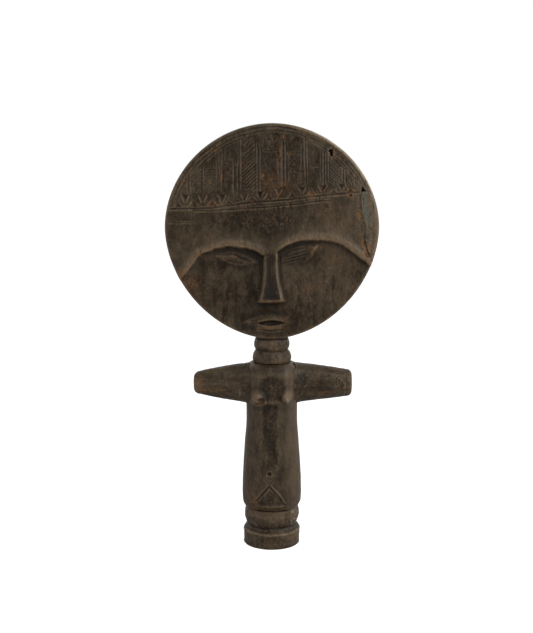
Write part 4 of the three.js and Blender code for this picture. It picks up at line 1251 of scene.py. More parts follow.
def turn_ring(node, name, outline, carving, seed, facets=14, facet_depth=0.1, detail=None):
    """One ring, bead or foot, from its outline to its finish."""
    low, high = box_mm(node)
    wide, deep = (high[0] - low[0]) / 2, (high[1] - low[1]) / 2
    ratio = deep / wide
    relief = turned_relief(low[2], high[2], wide, carving, seed, facets, facet_depth)
    if detail:
        detail(relief, wide)
    else:
        relief.faded -= 0.08
    relief.finish(carving.lip_rise / MM)

    def section(angle, radius):
        return radius * np.sin(angle), -radius * np.cos(angle) * ratio

    def shape(rings):
        return pushed(rings, relief, ratio, wide)

    full = [(0.7, outline[0][1])] + list(outline) + [(0.7, outline[-1][1])]
    piece = turned_piece(name, full, section, 42000, shape)
    points = points_of(piece)
    marks = round_marks(relief, points, ratio, wide)
    radius = np.hypot(points[:, 0], points[:, 1] / ratio)
    neck, belly = 0.82 * wide, 0.93 * wide
    marks["worn"] = unit(marks["worn"] + 0.25 * eased(radius, belly, wide))
    # Painted shade where the ring narrows towards the pieces beside it.
    marks["hollow"] = unit(marks["hollow"] + 0.4 * (1 - eased(radius, neck, belly)))
    return installed(marked(piece, marks), upright_wood(), "stained_wood", node)


def ring_outline(node, points):
    """A smooth outline through points, set on the lower face of a node."""
    low = box_mm(node)[0][2]
    return flowing([(radius, low + height) for radius, height in points], 0.4)


def round_line(wide, height, seed, sway):
    """A line right round a form at a height, that wavers a little."""
    across = np.linspace(-math.pi * wide, math.pi * wide, 140)
    random = np.random.default_rng(seed)
    waver = np.interp(np.arange(140), np.arange(0, 140, 7), random.uniform(-sway, sway, 20))
    waver[-8:] = waver[0] + (waver[-8:] - waver[0]) * np.linspace(1, 0, 8)
    return np.stack([across, height + waver], -1)


def mark_bead(relief, wide):
    """The waist bead's wavering line, its dark lower part, painted light at its top under the hem,
    and its worn places.
    """
    up = relief.up
    line = round_line(wide, 23.9, 701, 0.9)
    relief.groove(line, 1.9, 0.2, 2, 0.2)
    relief.bead(line + (0, 0.9), 0.6, 0.08, 0.12)
    relief.faded += 0.14 * eased(up, 24, 26) - 0.3 * (1 - eased(up, 22, 24.4)) - 0.14
    # Lighter at the top, under the hem: painted light that lifts the hem's shadow.
    relief.faded += 0.2 * relief.noise(5, 4, 705, True) + 0.3 * eased(up, 28.4, 31)
    relief.strokes((0, 19), (22, 3), 50, (1, 3), (0.8, 1.4), (0.1, 0.3), 702, 0.1)
    for x, y, half in ((-19.6, 24.2, 1.6), (-15.2, 24.4, 2.2), (18.6, 28, 1.6), (22, 22.5, 1.8)):
        relief.bead([(x - half, y), (x + half, y + 0.5)], 0.6, 0.2, 1.3)
    relief.strokes((20, 27), (4, 5), 26, (0.8, 2.4), (0.7, 1.2), (0.15, 0.4), 703, 0.4)
    each(relief.toned_and_lit, ((21, 27), (4, 6), 0.45), ((-21, 28), (6, 5), 0.2))
    for place in (20.5, 26) + np.random.default_rng(704).normal(0, 1, (16, 2)) * (3, 4):
        relief.paled_and_lit(place, (0.5, 0.6), 0.5)
    relief.rubbed((-17, 30), (5, 2), 0.5)


def mark_foot(relief, wide):
    """The foot's worn upper rim with painted highlight along it, painted shade above it under the
    bead, and its scuffed lower edge, darker towards the bottom.
    """
    up = relief.up
    rim = round_line(wide, 11.7, 711, 0.35)
    # The rim's raised top and pale specks along it: wear, with painted highlight where the light
    # catches the rim.
    relief.bead(rim, 0.7, 0.2, 0.9)
    for across in np.arange(-24, 26, 1.5):
        place = (across, 11.8 + 0.35 * math.sin(5 * across))
        relief.paled_and_lit(place, (0.8, 0.35), 0.22 + 0.2 * math.sin(2.1 * across))
    relief.groove(rim + (0, 1.9), 1.7, 0.4, 2, 0.3)
    # Painted shade above the rim, under the bead, and darker towards the bottom.
    relief.faded += 0.1 * swell((up - 9.5) / 2.2) - 0.5 * eased(up, 12.8, 14.2)
    relief.faded -= 0.25 * (1 - eased(up, 0, 3.5))
    relief.faded += 0.24 * relief.noise(5, 4, 715, True) - 0.14 * (1 - eased(up, 8, 11))
    random = np.random.default_rng(712)
    for across in np.arange(-26, 27, 2.4):
        place = (across + random.uniform(-1, 1), 12.2 + random.uniform(-0.4, 0.5))
        relief.rubbed(place, (random.uniform(1, 2.4), 0.6), random.uniform(0.1, 0.7))
    relief.strokes((0, 6.5), (26, 5), 70, (0.8, 3), (0.7, 1.3), (0.08, 0.28), 713, 0.12)
    relief.toned_and_lit((2, 7), (6, 2.4), -0.3)
    relief.rubbed((17, 10), (5, 3), 0.4)


def torso_section(angle, radius):
    """A soft-cornered section, a little less deep than wide."""
    power = TORSO_SQUARENESS
    sine, cosine = np.abs(np.sin(angle)), np.abs(np.cos(angle))
    reach = radius * (sine**power + cosine**power) ** (-1 / power)
    return reach * np.sin(angle), -reach * np.cos(angle) * TORSO_RATIO * 0.995


def torso_half_width(depth, height):
    """Half of the torso's width at a depth and a height above its lower face."""
    outline = np.array(TORSO_OUTLINE)
    radius = np.interp(height, outline[:, 1], outline[:, 0])
    shoulder = np.clip((height - 112) / 4.7, 0, 0.98)
    radius = np.where(height > 112, 14.1 + 5.7 * np.sqrt(1 - shoulder**2), radius)
    share = np.clip(np.abs(depth) / (radius * TORSO_RATIO), 0, 0.98)
    return radius * (1 - share**TORSO_SQUARENESS) ** (1 / TORSO_SQUARENESS)


# Front of the body: tones, rubbed places, pits, thin raised lines, gouge strokes and cuts
# The first four tones paint light and shade at the breasts: shade on their inner sides and between
# them, light on the right one.
BODY_TONES = [
    ((-8.6, 121), (4.2, 2.6), -0.8), ((6.8, 120), (2, 3), -0.3), ((11.6, 121), (3.4, 5.2), 0.5),
    ((0, 118), (4.5, 4), -0.25), ((-1, 60), (8, 9), -0.16), ((-12, 100), (3.5, 14), 0.1),
    ((2, 107), (1.8, 2.2), 0.35), ((3, 87), (1.8, 2.2), 0.35), ((3.5, 80.5), (1.8, 2.2), 0.35),
    ((1.5, 74), (1.8, 2.2), 0.35), ((0.6, 60.4), (1.6, 2.8), 0.3),
]
BODY_RUBBED = [
    ((-8.6, 120.2), (1.8, 0.8), 0.7), ((-7.6, 116), (2.8, 0.9), 0.9),
    ((6.9, 119.4), (1.2, 1.6), 0.6), ((-1.8, 106.5), (1.4, 2.6), 0.3),
    ((-1.6, 60.6), (1.6, 1.6), 0.45), ((-1.5, 46.6), (1.2, 1.8), 0.7),
    ((-13.6, 38), (4.2, 3.2), 0.85), ((-12.4, 33.4), (4.5, 1.3), 0.9), ((-15, 43), (4, 4), 0.3),
    ((-3, 33.4), (9, 0.7), 0.6),
]
BODY_PITS = [
    ((-8.5, 120.2), (3.5, 2.3), 1.5), ((6.9, 120.6), (1.7, 3.2), 0.9),
    ((-2.0, 60.9), (2.0, 1.9), 1.4),
]
BODY_LINES = [
    ([(-19, 121.4), (-16.6, 118.2), (-12.4, 115.9), (-8, 115.5)], 0.8, 0.4, 0.8),
    ([(-5.2, 115.4), (-5.0, 118), (-5.4, 121)], 0.7, 0.4, 0.8),
    ([(9.4, 124.6), (10.8, 121.4), (12, 118), (11.6, 116)], 1.3, 0.4, 1.0),
    ([(-0.6, 65.4), (1.8, 67.8), (3.6, 66.8), (4.2, 63)], 0.8, 0.2, 0.3),
    ([(-1.2, 52), (0.6, 50.4), (3.4, 47.4), (7.2, 43), (9.4, 38.6), (12, 35.2)], 0.7, 0.35, 0.7),
    ([(-8, 34.6), (-2, 34.0), (4, 34.2), (11, 35.4)], 0.8, 0.16, 0.35),
]
BODY_STROKES = [
    ((0, 131), (8.5, 6.5), 60, (1.4, 5), (0.9, 1.6), (0.12, 0.35), 401, 0.08),
    ((0, 121), (5, 4), 22, (1.2, 3), (0.8, 1.4), (0.12, 0.3), 402, 0.08),
    ((-1.4, 92), (6, 26), 60, (1.2, 3.6), (0.9, 1.7), (0.1, 0.28), 403, 0.1),
    ((-1.3, 41), (6, 4), 24, (2, 5), (0.8, 1.3), (0.15, 0.4), 411, 0.3),
]
BODY_CURVES = [
    ([(-6.4, 64), (-4.4, 66.8), (-1.2, 67.8), (2.2, 66.2)], 405, 0.1, 1.7, 0.25, 1, 0.1),
    ([(-1.4, 50.6), (2, 46.6), (5.2, 42.8), (7.8, 38.4)], 409, 0.12, 1.8, 0.8, 1, 0.3),
    ([(-7, 33.0), (2, 32.6), (13, 33.4)], 412, 0.15, 1.4, 0.4, 2),
]
BODY_SCORES = [
    ([(-5.6, 57.2), (-2.4, 53.2)], 406, 0.12, 1.3, 0.3, 1),
    ([(1.4, 56.4), (-2.0, 52.6)], 407, 0.12, 1.2, 0.3, 1),
    ([(-1.4, 51.6), (-4, 48.4), (-11.2, 39.6), (-12.4, 38)], 408, 0.12, 2.2, 0.9, 1, 0.5),
]


def carve_chest(relief):
    """The raised chest with two small breasts and the sunken neckline above them."""
    x, z = relief.across, relief.up
    chest = eased(z - 0.9 * swell((x - 1) / 5), 111, 118.4)
    chest = chest * (1 - eased(np.abs(x), 14.5, 19.5)) * (1 - eased(z, 137, 144))
    relief.height += 2.0 * chest
    for side, height in ((-1, 122.4), (1, 123.0)):
        middle = 11.4 * side + 0.2
        below = unit((height - z) / 6.6)
        off = np.hypot((x - middle) / 6.9, (z - height) / (6.8 - 0.6 * below))
        relief.height += 4.4 * (1 - eased(off, 0.1 + 0.25 * below, 1.1 - 0.1 * below))
        # Painted highlight on each breast's face.
        relief.toned_and_lit((middle, height - 1), (4, 4.5), 0.25)
    neckline = np.hypot((x + 0.2) / 11, (z - 128) / 11.4)
    above = eased(z, 118, 124)
    relief.height -= 0.75 * (1 - eased(neckline, 0.72, 1.08)) * above
    # Painted shade in the sunken neckline, and a lighter ring round its edge.
    relief.faded -= 0.42 * (1 - eased(neckline, 0.8, 1.15)) * above
    relief.faded += 0.14 * swell((neckline - 1.3) / 0.16) * above


def carve_scars(relief):
    """A sunken column of small curled cuts down the front of the body."""
    x, z = relief.across, relief.up
    column = (1 - eased(np.abs(x + 1.6), 3.4, 7.4)) * eased(z, 64, 71) * (1 - eased(z, 114, 118))
    blotch = np.clip(0.9 + relief.noises((0.9, 5, 6, 415), (0.5, 2.2, 2.8, 416)), 0, 1.6)
    relief.height -= 0.75 * column
    relief.faded -= 0.42 * column * blotch
    relief.hollowed += 0.18 * column * blotch
    random = np.random.default_rng(402)
    for row, height in enumerate(np.arange(71, 114, 3.7)):
        for k, centre in enumerate((-4.8, -1.2, 2.6)):
            cx = centre + (1.1 if row % 2 else -0.7) + random.uniform(-0.6, 0.6)
            cz, size = height + random.uniform(-1, 1), random.uniform(1.1, 1.9)
            first = random.uniform(-0.6, 2.2)
            turn = np.linspace(first, first + random.uniform(2.4, 4.2), 14)
            arc = np.stack([cx + size * np.cos(turn), cz + 1.1 * size * np.sin(turn)], -1)
            knife = (random.uniform(1.5, 2.4), random.uniform(0.1, 0.26), 0.8, 0.1)
            relief.scored(arc, 410 + 3 * row + k, 0.25, *knife)
            if (row + k) % 3 == 0:
                relief.bead(arc + (0.9, 0.5), 1.0, 0.18, 0.18)


def torso_front_relief(carving):
    """What is carved on the front of the body, seen square on: across and up."""
    relief = Relief((-24, TORSO_BASE), (24, TORSO_BASE + 117), FINE_CELL)
    x, z = relief.across, relief.up
    carve_chest(relief)
    carve_scars(relief)
    each(relief.toned_and_lit, *BODY_TONES)
    each(relief.rubbed, *BODY_RUBBED)
    each(relief.pit, *BODY_PITS)
    each(relief.lid, *BODY_LINES)
    each(relief.strokes, *BODY_STROKES)
    each(relief.curved, *BODY_CURVES)
    each(relief.scored, *BODY_SCORES)
    # Painted highlight on the right breast.
    relief.paled_and_lit((12, 120), (1.6, 2.8), 0.22)
    turn = np.radians(np.linspace(-100, 250, 60))
    ring = np.stack([-1.9 + 2.5 * np.cos(turn), 60.9 + 2.5 * np.sin(turn)], -1)
    relief.bead(ring, 0.7, 0.2, 0.12)
    field = unit(np.minimum(49.5 - z - 1.02 * np.abs(x + 1.3), z - 35) / 2)
    relief.height -= 0.55 * field
    relief.faded -= 0.3 * field
    relief.faded += relief.noises((0.1, 6, 9, 413), (0.12, 2.4, 5, 414))
    relief.finish(carving.lip_rise / MM, 0.4)
    return relief


def torso_skin_relief(carving):
    """Facets, tool marks, nicks, tone and painted sheen right round the body."""
    skin = unrolled(TORSO_BASE, TORSO_BASE + 117, TORSO_WIDE)
    marks = carving.tool_marks / MM
    angle = skin.across / TORSO_WIDE
    skin.height += knife_facets(angle, skin.up, 7, 12, 0.26)
    skin.height += marks * skin.noises((0.7, 7, 22, 421, True), (0.4, 3, 12, 422, True))
    skin.height += marks * 0.3 * skin.noise(0.8, 12, 423, True)
    skin.cuts = 0.5 * unit(skin.noise(0.8, 14, 424, True) - 0.7)
    random = np.random.default_rng(425)
    for _ in range(120):
        size = random.uniform(0.25, 0.7)
        place = (
            random.uniform(-3.1, 3.1) * TORSO_WIDE,
            random.uniform(TORSO_BASE, TORSO_BASE + 116),
        )
        skin.pit(place, (size, size * 2), random.uniform(0.1, 0.35), 0.3 * (size > 0.5))
    skin.rubbed((19.2, TORSO_BASE + 8), (5, 5), 0.35)
    # Painted sheen: lighter towards both sides, and most of all on the viewer's right, where the
    # light falls.
    skin.faded += 0.26 * eased(np.abs(angle), 0.35, 1.2) + 0.42 * eased(angle, 0.3, 1.0)
    skin.faded += skin.noises((0.12, 5, 14, 426, True), (0.1, 2, 7, 427, True))
    skin.finish(carving.lip_rise / MM)
    return skin


def carve_torso(carving, material):
    """The columnar body, with its raised chest, scars, navel and cut-under hem."""
    front, skin = torso_front_relief(carving), torso_skin_relief(carving)
    turns = np.linspace(0, math.pi / 2, 8)
    shoulder = [(13.7 + 6.1 * math.cos(t), 111.4 + 4.9 * math.sin(t)) for t in turns]
    outline = TORSO_HEM + TORSO_OUTLINE[1:] + shoulder + [(0.7, 116.7)]
    outline = [(radius, TORSO_BASE + height) for radius, height in outline]
    deep = TORSO_WIDE * TORSO_RATIO

    def shape(rings):
        rings = pushed(rings, skin, TORSO_RATIO, TORSO_WIDE)
        x, y, z = rings[..., 0], rings[..., 1], rings[..., 2] - TORSO_BASE
        facing = eased(-y / deep, 0.25, 0.7) * eased(z, 0.4, 3) * (1 - eased(z, 110, 113.4))
        rings[..., 1] -= front.read(front.height, x, rings[..., 2]) * facing
        return rings

    piece = turned_piece("carved_torso", outline, torso_section, 130000, shape)
    points = points_of(piece)
    around = round_marks(skin, points, TORSO_RATIO, TORSO_WIDE)
    square = front.marks(points[:, 0], points[:, 2])
    facing = eased(-points[:, 1] / deep, 0.3, 0.6)
    marks = {
        name: unit(around[name] * (1 - 0.5 * facing) + square[name] * facing) for name in around
    }
    marks["faded"] = unit(around["faded"] + (square["faded"] - 0.5) * facing)
    # Painted shade on the end faces: under the hem and where the neck sits.
    end_shade = 1 - eased(np.hypot(points[:, 0], points[:, 1]), 15, 18.5)
    marks["hollow"] = unit(marks["hollow"] + 0.25 * end_shade)
    return installed(marked(piece, marks), material, "stained_wood", "torso")


def mark_left_arm(relief, seed):
    """Cuts along the viewer's left arm and its bare, pale end."""
    for y in (-8, -5.4, -3.4, -1, 2.4):
        cut = [(38 + 3 * math.cos(y), y), (58, y + 0.5)]
        relief.scored(cut, seed + 20 + int(y), 0.3, 0.9, 0.45, 5)
    relief.bead([(25, -9), (24.4, 0.5)], 0.6, 0.15, 1.2)
    each(
        relief.rubbed, ((62, -1), (8, 13), 1.0), ((50, -6), (9, 1.6), 0.9),
        ((44, -3.6), (8, 0.8), 0.7),
    )
    each(relief.toned_and_lit, ((61, -3), (7, 10), 0.5), ((40, 4), (16, 7), -0.12))
    each(relief.paled_and_lit, ((61, -2), (5, 8), 0.12), ((24.8, -5), (0.35, 3.4), 0.15))


def mark_right_arm(relief, seed):
    """Curved cuts at the end of the viewer's right arm, a chip and pale specks by the body."""
    for radius, sweep in ((7.5, (-60, 80)), (5.2, (-50, 70))):
        turn = np.radians(np.linspace(*sweep, 24))
        arc = np.stack([57 - radius * np.cos(turn), 3 + radius * np.sin(turn) * 0.8], -1)
        relief.scored(arc, seed + 30 + int(radius), 0.2, 1.3, 0.5, 3)
    relief.chip([(47, -3), (56, 1), (55, -7)], 0.9, 0.5)
    relief.scored([(57.6, -14), (58, 0), (57.6, 14)], seed + 33, 0.3, 1.0, 0.4, 4)
    relief.rubbed((41, -6), (9, 2.6), 0.3)
    relief.lid([(50, 7), (54.6, 4), (57, -1), (55.6, -4.6)], 0.9, 0.3, 0.9)
    each(
        relief.toned_and_lit, ((41, -2), (12, 4), -0.4), ((24, 2), (4, 9), -0.35),
        ((40, 8), (16, 4), 0.22),
    )
    for place in ((24.4, 4.6), (25.6, -0.6), (23.2, -5.8), (27, 7)):
        relief.paled_and_lit(place, (0.3, 0.3), 0.5)


def arm_relief(side, carving, seed):
    """An arm's surface: distance from the body across, and round its girth up."""
    half = math.pi * ARM_GIRTH
    relief = Relief((0, -half), (64, half), CELL)
    marks = carving.tool_marks / MM
    relief.height += marks * relief.noises((1.0, 14, 7, seed), (0.4, 6, 3, seed + 1))
    relief.height += marks * relief.noises((0.3, 9, 0.8, seed + 2), (0.6, 2.2, 1.8, seed + 5))
    relief.height += knife_facets(relief.up / ARM_GIRTH, relief.across, seed, 11, 0.2)
    relief.cuts = 0.6 * unit(relief.noise(13, 0.8, seed + 3) - 0.68)
    relief.lift("cuts", Ellipsis, 0.45 * unit(relief.noise(2.2, 1.7, seed + 6) - 0.4))
    relief.faded += -0.05 + relief.noises((0.16, 9, 7, seed + 7), (0.2, 3.6, 2.6, seed + 8))
    relief.strokes((42, 0), (18, 13), 60, (1, 3.4), (0.7, 1.3), (0.08, 0.3), seed + 9, 0.12)
    random = np.random.default_rng(seed + 4)
    for _ in range(50):
        size = random.uniform(0.25, 0.8)
        place = (random.uniform(21, 62), random.uniform(-38, 38))
        relief.pit(place, (size * 1.6, size), random.uniform(0.1, 0.45), 0.4)
    (mark_left_arm if side < 0 else mark_right_arm)(relief, seed)
    relief.finish(carving.lip_rise / MM)
    return relief


def arm_rings(side, node, relief, bumps_seed):
    """Rings of an arm from its root on the body to its flat, rounded end."""
    low, high = box_mm(node)
    middle, reach = (low[2] + high[2]) / 2, max(abs(low[0]), abs(high[0]))
    tip_half, edge, taper, raised = ARMS[node]
    length, pitch = reach - edge, 0.42 * ROUGH_OUT
    columns = int(90 / pitch)
    angle = 2 * np.pi * np.arange(columns) / columns
    turned = ((angle - np.pi / 2) % (2 * np.pi) - np.pi) * ARM_GIRTH
    front = 3.0 * unit(-np.sin(angle))
    rings = []

    def section(x, scale):
        share = unit(x / length)
        half = ARM_ROOT_HALF + (tip_half - ARM_ROOT_HALF) * share**taper
        z = half * scale * np.cos(angle) + raised * (1 - share**2)
        return z, half * scale * ARM_FLATNESS * np.sin(angle), half

    def root_plane(z, y):
        return torso_half_width(y, middle + z - TORSO_BASE) + 0.1

    def add_ring(x, z, y, spread=1):
        rings.append(np.stack([x, y * spread, middle + z * spread], -1))

    z, y, half = section(np.full(columns, 18.0), 1.0)
    spread = 1 + (0.3 + front) / half
    z, y = z * spread, y * spread
    for scale in (0.06, 0.3, 0.55, 0.78, 0.9, 0.97):
        add_ring(root_plane(z * scale, y * scale), z * scale, y * scale)
    root = root_plane(z, y)
    for t in np.linspace(0, 1, int(40 / pitch)):
        x = root + (length - root) * t
        z, y, half = section(x, 1.0)
        flare = 0.3 * max(0, 1 - t / 0.12) ** 2 + front * max(0, 1 - t / 0.35) ** 2
        rise = relief.read(relief.height, x, turned) * eased(t, 0.0, 0.02) + flare
        add_ring(x, z, y, 1 + rise / half)
    for t in np.linspace(0, math.pi / 2, 8)[1:]:
        z, y, half = section(np.full(columns, length), 1 - edge / tip_half * (1 - math.cos(t)))
        x = np.full(columns, length + edge * math.sin(t))
        rise = relief.read(relief.height, x, turned) * math.cos(t)
        add_ring(x, z, y, 1 + rise / half)
    end = rings[-1]
    centre = end.mean(axis=0)
    bumps = grown_noise((8, columns), (2, 9), bumps_seed, True)
    for k, scale in enumerate((0.85, 0.68, 0.5, 0.32, 0.14)):
        ring = centre + (end - centre) * scale
        ring[:, 0] += 0.12 * bumps[k]
        rings.append(ring)
    rings = np.array(rings)
    rings[..., 0] *= side
    return rings, middle, reach


def carve_arm(side, node, name, carving, material, seed):
    """One arm: it tapers from the body to a flat end with rounded edges."""
    relief = arm_relief(side, carving, seed)
    rings, middle, reach = arm_rings(side, node, relief, seed + 40)
    points, triangles = joined_rings(rings)
    if side > 0:
        triangles = triangles[:, ::-1]
    piece = thinned(closed_mesh(name, points, triangles), rough_count(56000))
    points = points_of(piece)
    away = np.abs(points[:, 0])
    around = np.arctan2(points[:, 1] / ARM_FLATNESS, points[:, 2] - middle)
    around = (around - np.pi / 2) % (2 * np.pi) - np.pi
    marks = relief.marks(away, around * ARM_GIRTH)
    marks["worn"] = unit(marks["worn"] + 0.5 * eased(away, reach - 2.6, reach - 0.6))
    # Painted light where the arm meets the body, which lifts the shade in the crease.
    off_body = away - torso_half_width(points[:, 1], points[:, 2] - TORSO_BASE)
    marks["faded"] = unit(marks["faded"] + 0.12 * (1 - eased(off_body, 0.4, 2.0)))
    return installed(marked(piece, marks), material, "stained_wood", node)


# Finishes

SHINE = 0.2
BUMP_STRENGTH, BUMP_HEIGHT = 0.3, 0.0004
FLECKS = 0.4


def linear(colour):
    """A colour as it shows on screen as the colour that light adds up in."""
    values = np.array(colour, float)
    bright = ((values + 0.055) / 1.055) ** 2.4
    return tuple(np.where(values <= 0.04045, values / 12.92, bright)) + (1.0,)


def put(tree, kind, wires=None, **settings):
    """Adds a node, gives its properties and input values by name and wires sockets to it."""
    node = tree.nodes.new(kind)
    for name, value in settings.items():
        if hasattr(node, name):
            setattr(node, name, value)
        else:
            node.inputs[name.replace("_", " ")].default_value = value
    for name, socket in (wires or {}).items():
        tree.links.new(socket, node.inputs[name])
    return node


def laid_out(tree):
    """Sets each node of a tree to the left of all that it feeds."""
    column = {node.name: 0 for node in tree.nodes}
    for _ in tree.nodes:
        for link in tree.links:
            giver, taker = link.from_node.name, link.to_node.name
            column[giver] = max(column[giver], column[taker] + 1)
    rows = {}
    for node in tree.nodes:
        step = column[node.name]
        rows[step] = rows.get(step, 0) + 1
        node.location = (-220 * step, -260 * rows[step])


def noise(tree, vector, scale, detail, roughness=0.55):
    """A noise texture over coordinates, scaled more across the grain than along it."""
    stretched = put(tree, "ShaderNodeMapping", {"Vector": vector}, Scale=scale)
    wires = {"Vector": stretched.outputs["Vector"]}
    kind = "ShaderNodeTexNoise"
    return put(tree, kind, wires, Scale=1.0, Detail=detail, Roughness=roughness).outputs["Fac"]


def between(tree, value, low, high):
    """A value stretched so that low gives 0 and high gives 1."""
    settings = {"interpolation_type": "SMOOTHSTEP", "From_Min": low, "From_Max": high}
    return put(tree, "ShaderNodeMapRange", {"Value": value}, **settings).outputs["Result"]


def joined_up(tree, node, pairs):
    """Gives inputs of a node their values, each a socket or a plain value."""
    for socket, value in pairs:
        if isinstance(value, (int, float, tuple)):
            socket.default_value = value
        else:
            tree.links.new(value, socket)
    return node


def sum_of(tree, operation, first, second):
    """A Math node over two values, each a socket or a number."""
    clamped = operation in ("ADD", "MULTIPLY")
    node = put(tree, "ShaderNodeMath", operation=operation, use_clamp=clamped)
    return joined_up(tree, node, zip(node.inputs, (first, second))).outputs[0]


def blended(tree, factor, first, second):
    """A Mix node over two colours."""
    node = put(tree, "ShaderNodeMix", data_type="RGBA")
    pairs = ((node.inputs["Factor"], factor), (node.inputs[6], first), (node.inputs[7], second))
    return joined_up(tree, node, pairs).outputs[2]


def new_group(name, inputs, outputs):
    """An empty shader group with named sockets."""
    tree = bpy.data.node_groups.new(name, "ShaderNodeTree")
    for label, kind, default in inputs:
        socket = tree.interface.new_socket(name=label, in_out="INPUT", socket_type=kind)
        if default is not None:
            socket.default_value = default
    for label, kind in outputs:
        tree.interface.new_socket(name=label, in_out="OUTPUT", socket_type=kind)
    return tree, put(tree, "NodeGroupInput").outputs


def wood_grain_group():
    """Streaks, fine fibre and pores of a dense wood whose grain runs along Z."""
    name = "wood grain"
    if name in bpy.data.node_groups:
        return bpy.data.node_groups[name]
    outputs = [(label, "NodeSocketFloat") for label in ("Streaks", "Fibre", "Pores", "Height")]
    tree, own = new_group(name, [("Vector", "NodeSocketVector", None)], outputs)
    streaks = noise(tree, own["Vector"], (260, 260, 34), 5, 0.62)
    fibre = noise(tree, own["Vector"], (1300, 1300, 90), 3)
    pores = between(tree, noise(tree, own["Vector"], (1900, 1900, 300), 2), 0.62, 0.72)
    weak_fibre = sum_of(tree, "MULTIPLY", fibre, 0.5)
    ridge = sum_of(tree, "ADD", weak_fibre, sum_of(tree, "MULTIPLY", streaks, 0.4))
    put(tree, "NodeGroupOutput", {
        "Streaks": between(tree, streaks, 0.34, 0.68),
        "Fibre": between(tree, fibre, 0.36, 0.66),
        "Pores": pores,
        "Height": sum_of(tree, "SUBTRACT", ridge, sum_of(tree, "MULTIPLY", pores, 0.6)),
    })
    laid_out(tree)
    return tree


def stain_and_light_group():
    """Stain and handling: mottled stain, brown flecks, greenish dust, light edges, bare wood,
    hollows darkened with painted shade, and painted light and highlight carried by the masks.
    """
    name = "stain and handling"
    if name in bpy.data.node_groups:
        return bpy.data.node_groups[name]
    colour, value = "NodeSocketColor", "NodeSocketFloat"
    labels = ("Stain", "Faded stain", "Rubbed edge", "Hollow", "Bare wood", "Dust", "Pale wear")
    amounts = ("Streaks", "Fibre", "Pores") + tuple(MASKS)
    inputs = [("Vector", "NodeSocketVector", None)]
    inputs += [(label, colour, None) for label in labels]
    inputs += [(label, value, 0.0) for label in amounts]
    inputs += [("Flecks", value, 0.5), ("Dust amount", value, 0.4)]
    tree, own = new_group(name, inputs, [("Colour", colour), ("Roughness", value)])

    def grown(scale, detail, low, high, roughness=0.6):
        return between(tree, noise(tree, own["Vector"], scale, detail, roughness), low, high)

    def times(first, second):
        return sum_of(tree, "MULTIPLY", first, second)

    def plus(first, second):
        return sum_of(tree, "ADD", first, second)

    patches = grown((60, 60, 40), 4, 0.38, 0.64)
    mottle = grown((230, 230, 150), 5, 0.34, 0.68, 0.72)
    specks = grown((700, 700, 460), 4, 0.34, 0.66, 0.75)
    flecks = grown((300, 300, 170), 5, 0.57, 0.68, 0.66)
    grime = grown((90, 90, 70), 4, 0.4, 0.72, 0.66)
    share = plus(plus(times(patches, 0.22), times(mottle, 0.3)), times(specks, 0.32))
    share = plus(share, times(own["Streaks"], 0.12))
    share = plus(share, sum_of(tree, "SUBTRACT", own["Faded mask"], 0.5))
    hollow_shade = times(own["Hollow mask"], 0.75)
    torn = between(tree, plus(times(specks, 0.5), times(mottle, 0.5)), 0.2, 0.6)
    broken = times(own["Bare mask"], torn)
    # The faded-and-lit mask also carries painted light and shade, the hollow mask mostly painted
    # shade, and the worn and pale masks painted highlight on some edges.
    layers = (
        (share, "Faded stain"),
        (times(grime, own["Dust amount"]), "Dust"),
        (times(own["Pores"], 0.5), "Hollow"),
        (times(own["Fibre"], 0.12), "Hollow"),
        (times(times(flecks, specks), own["Flecks"]), "Bare wood"),
        (times(own["Worn mask"], plus(times(specks, 0.6), 0.3)), "Rubbed edge"),
        (hollow_shade, "Hollow"),
        (broken, "Bare wood"),
        (own["Pale mask"], "Pale wear"),
    )
    surface = own["Stain"]
    for share, label in layers:
        surface = blended(tree, share, surface, own[label])
    dull = plus(plus(times(broken, 0.5), times(hollow_shade, 0.5)), times(specks, 0.4))
    rough = put(tree, "ShaderNodeMapRange", {"Value": dull}, To_Min=0.36, To_Max=0.7)
    wires = {"Colour": surface, "Roughness": rough.outputs["Result"]}
    put(tree, "NodeGroupOutput", wires)
    laid_out(tree)
    return tree


def blank_material(name):
    """A material without nodes, and its tree."""
    material = bpy.data.materials.new(name)
    material.use_nodes = True
    material.node_tree.nodes.clear()
    return material, material.node_tree


MASKS = {
    "Worn mask": "worn", "Hollow mask": "hollow", "Bare mask": "bare", "Faded mask": "faded",
    "Pale mask": "pale",
}


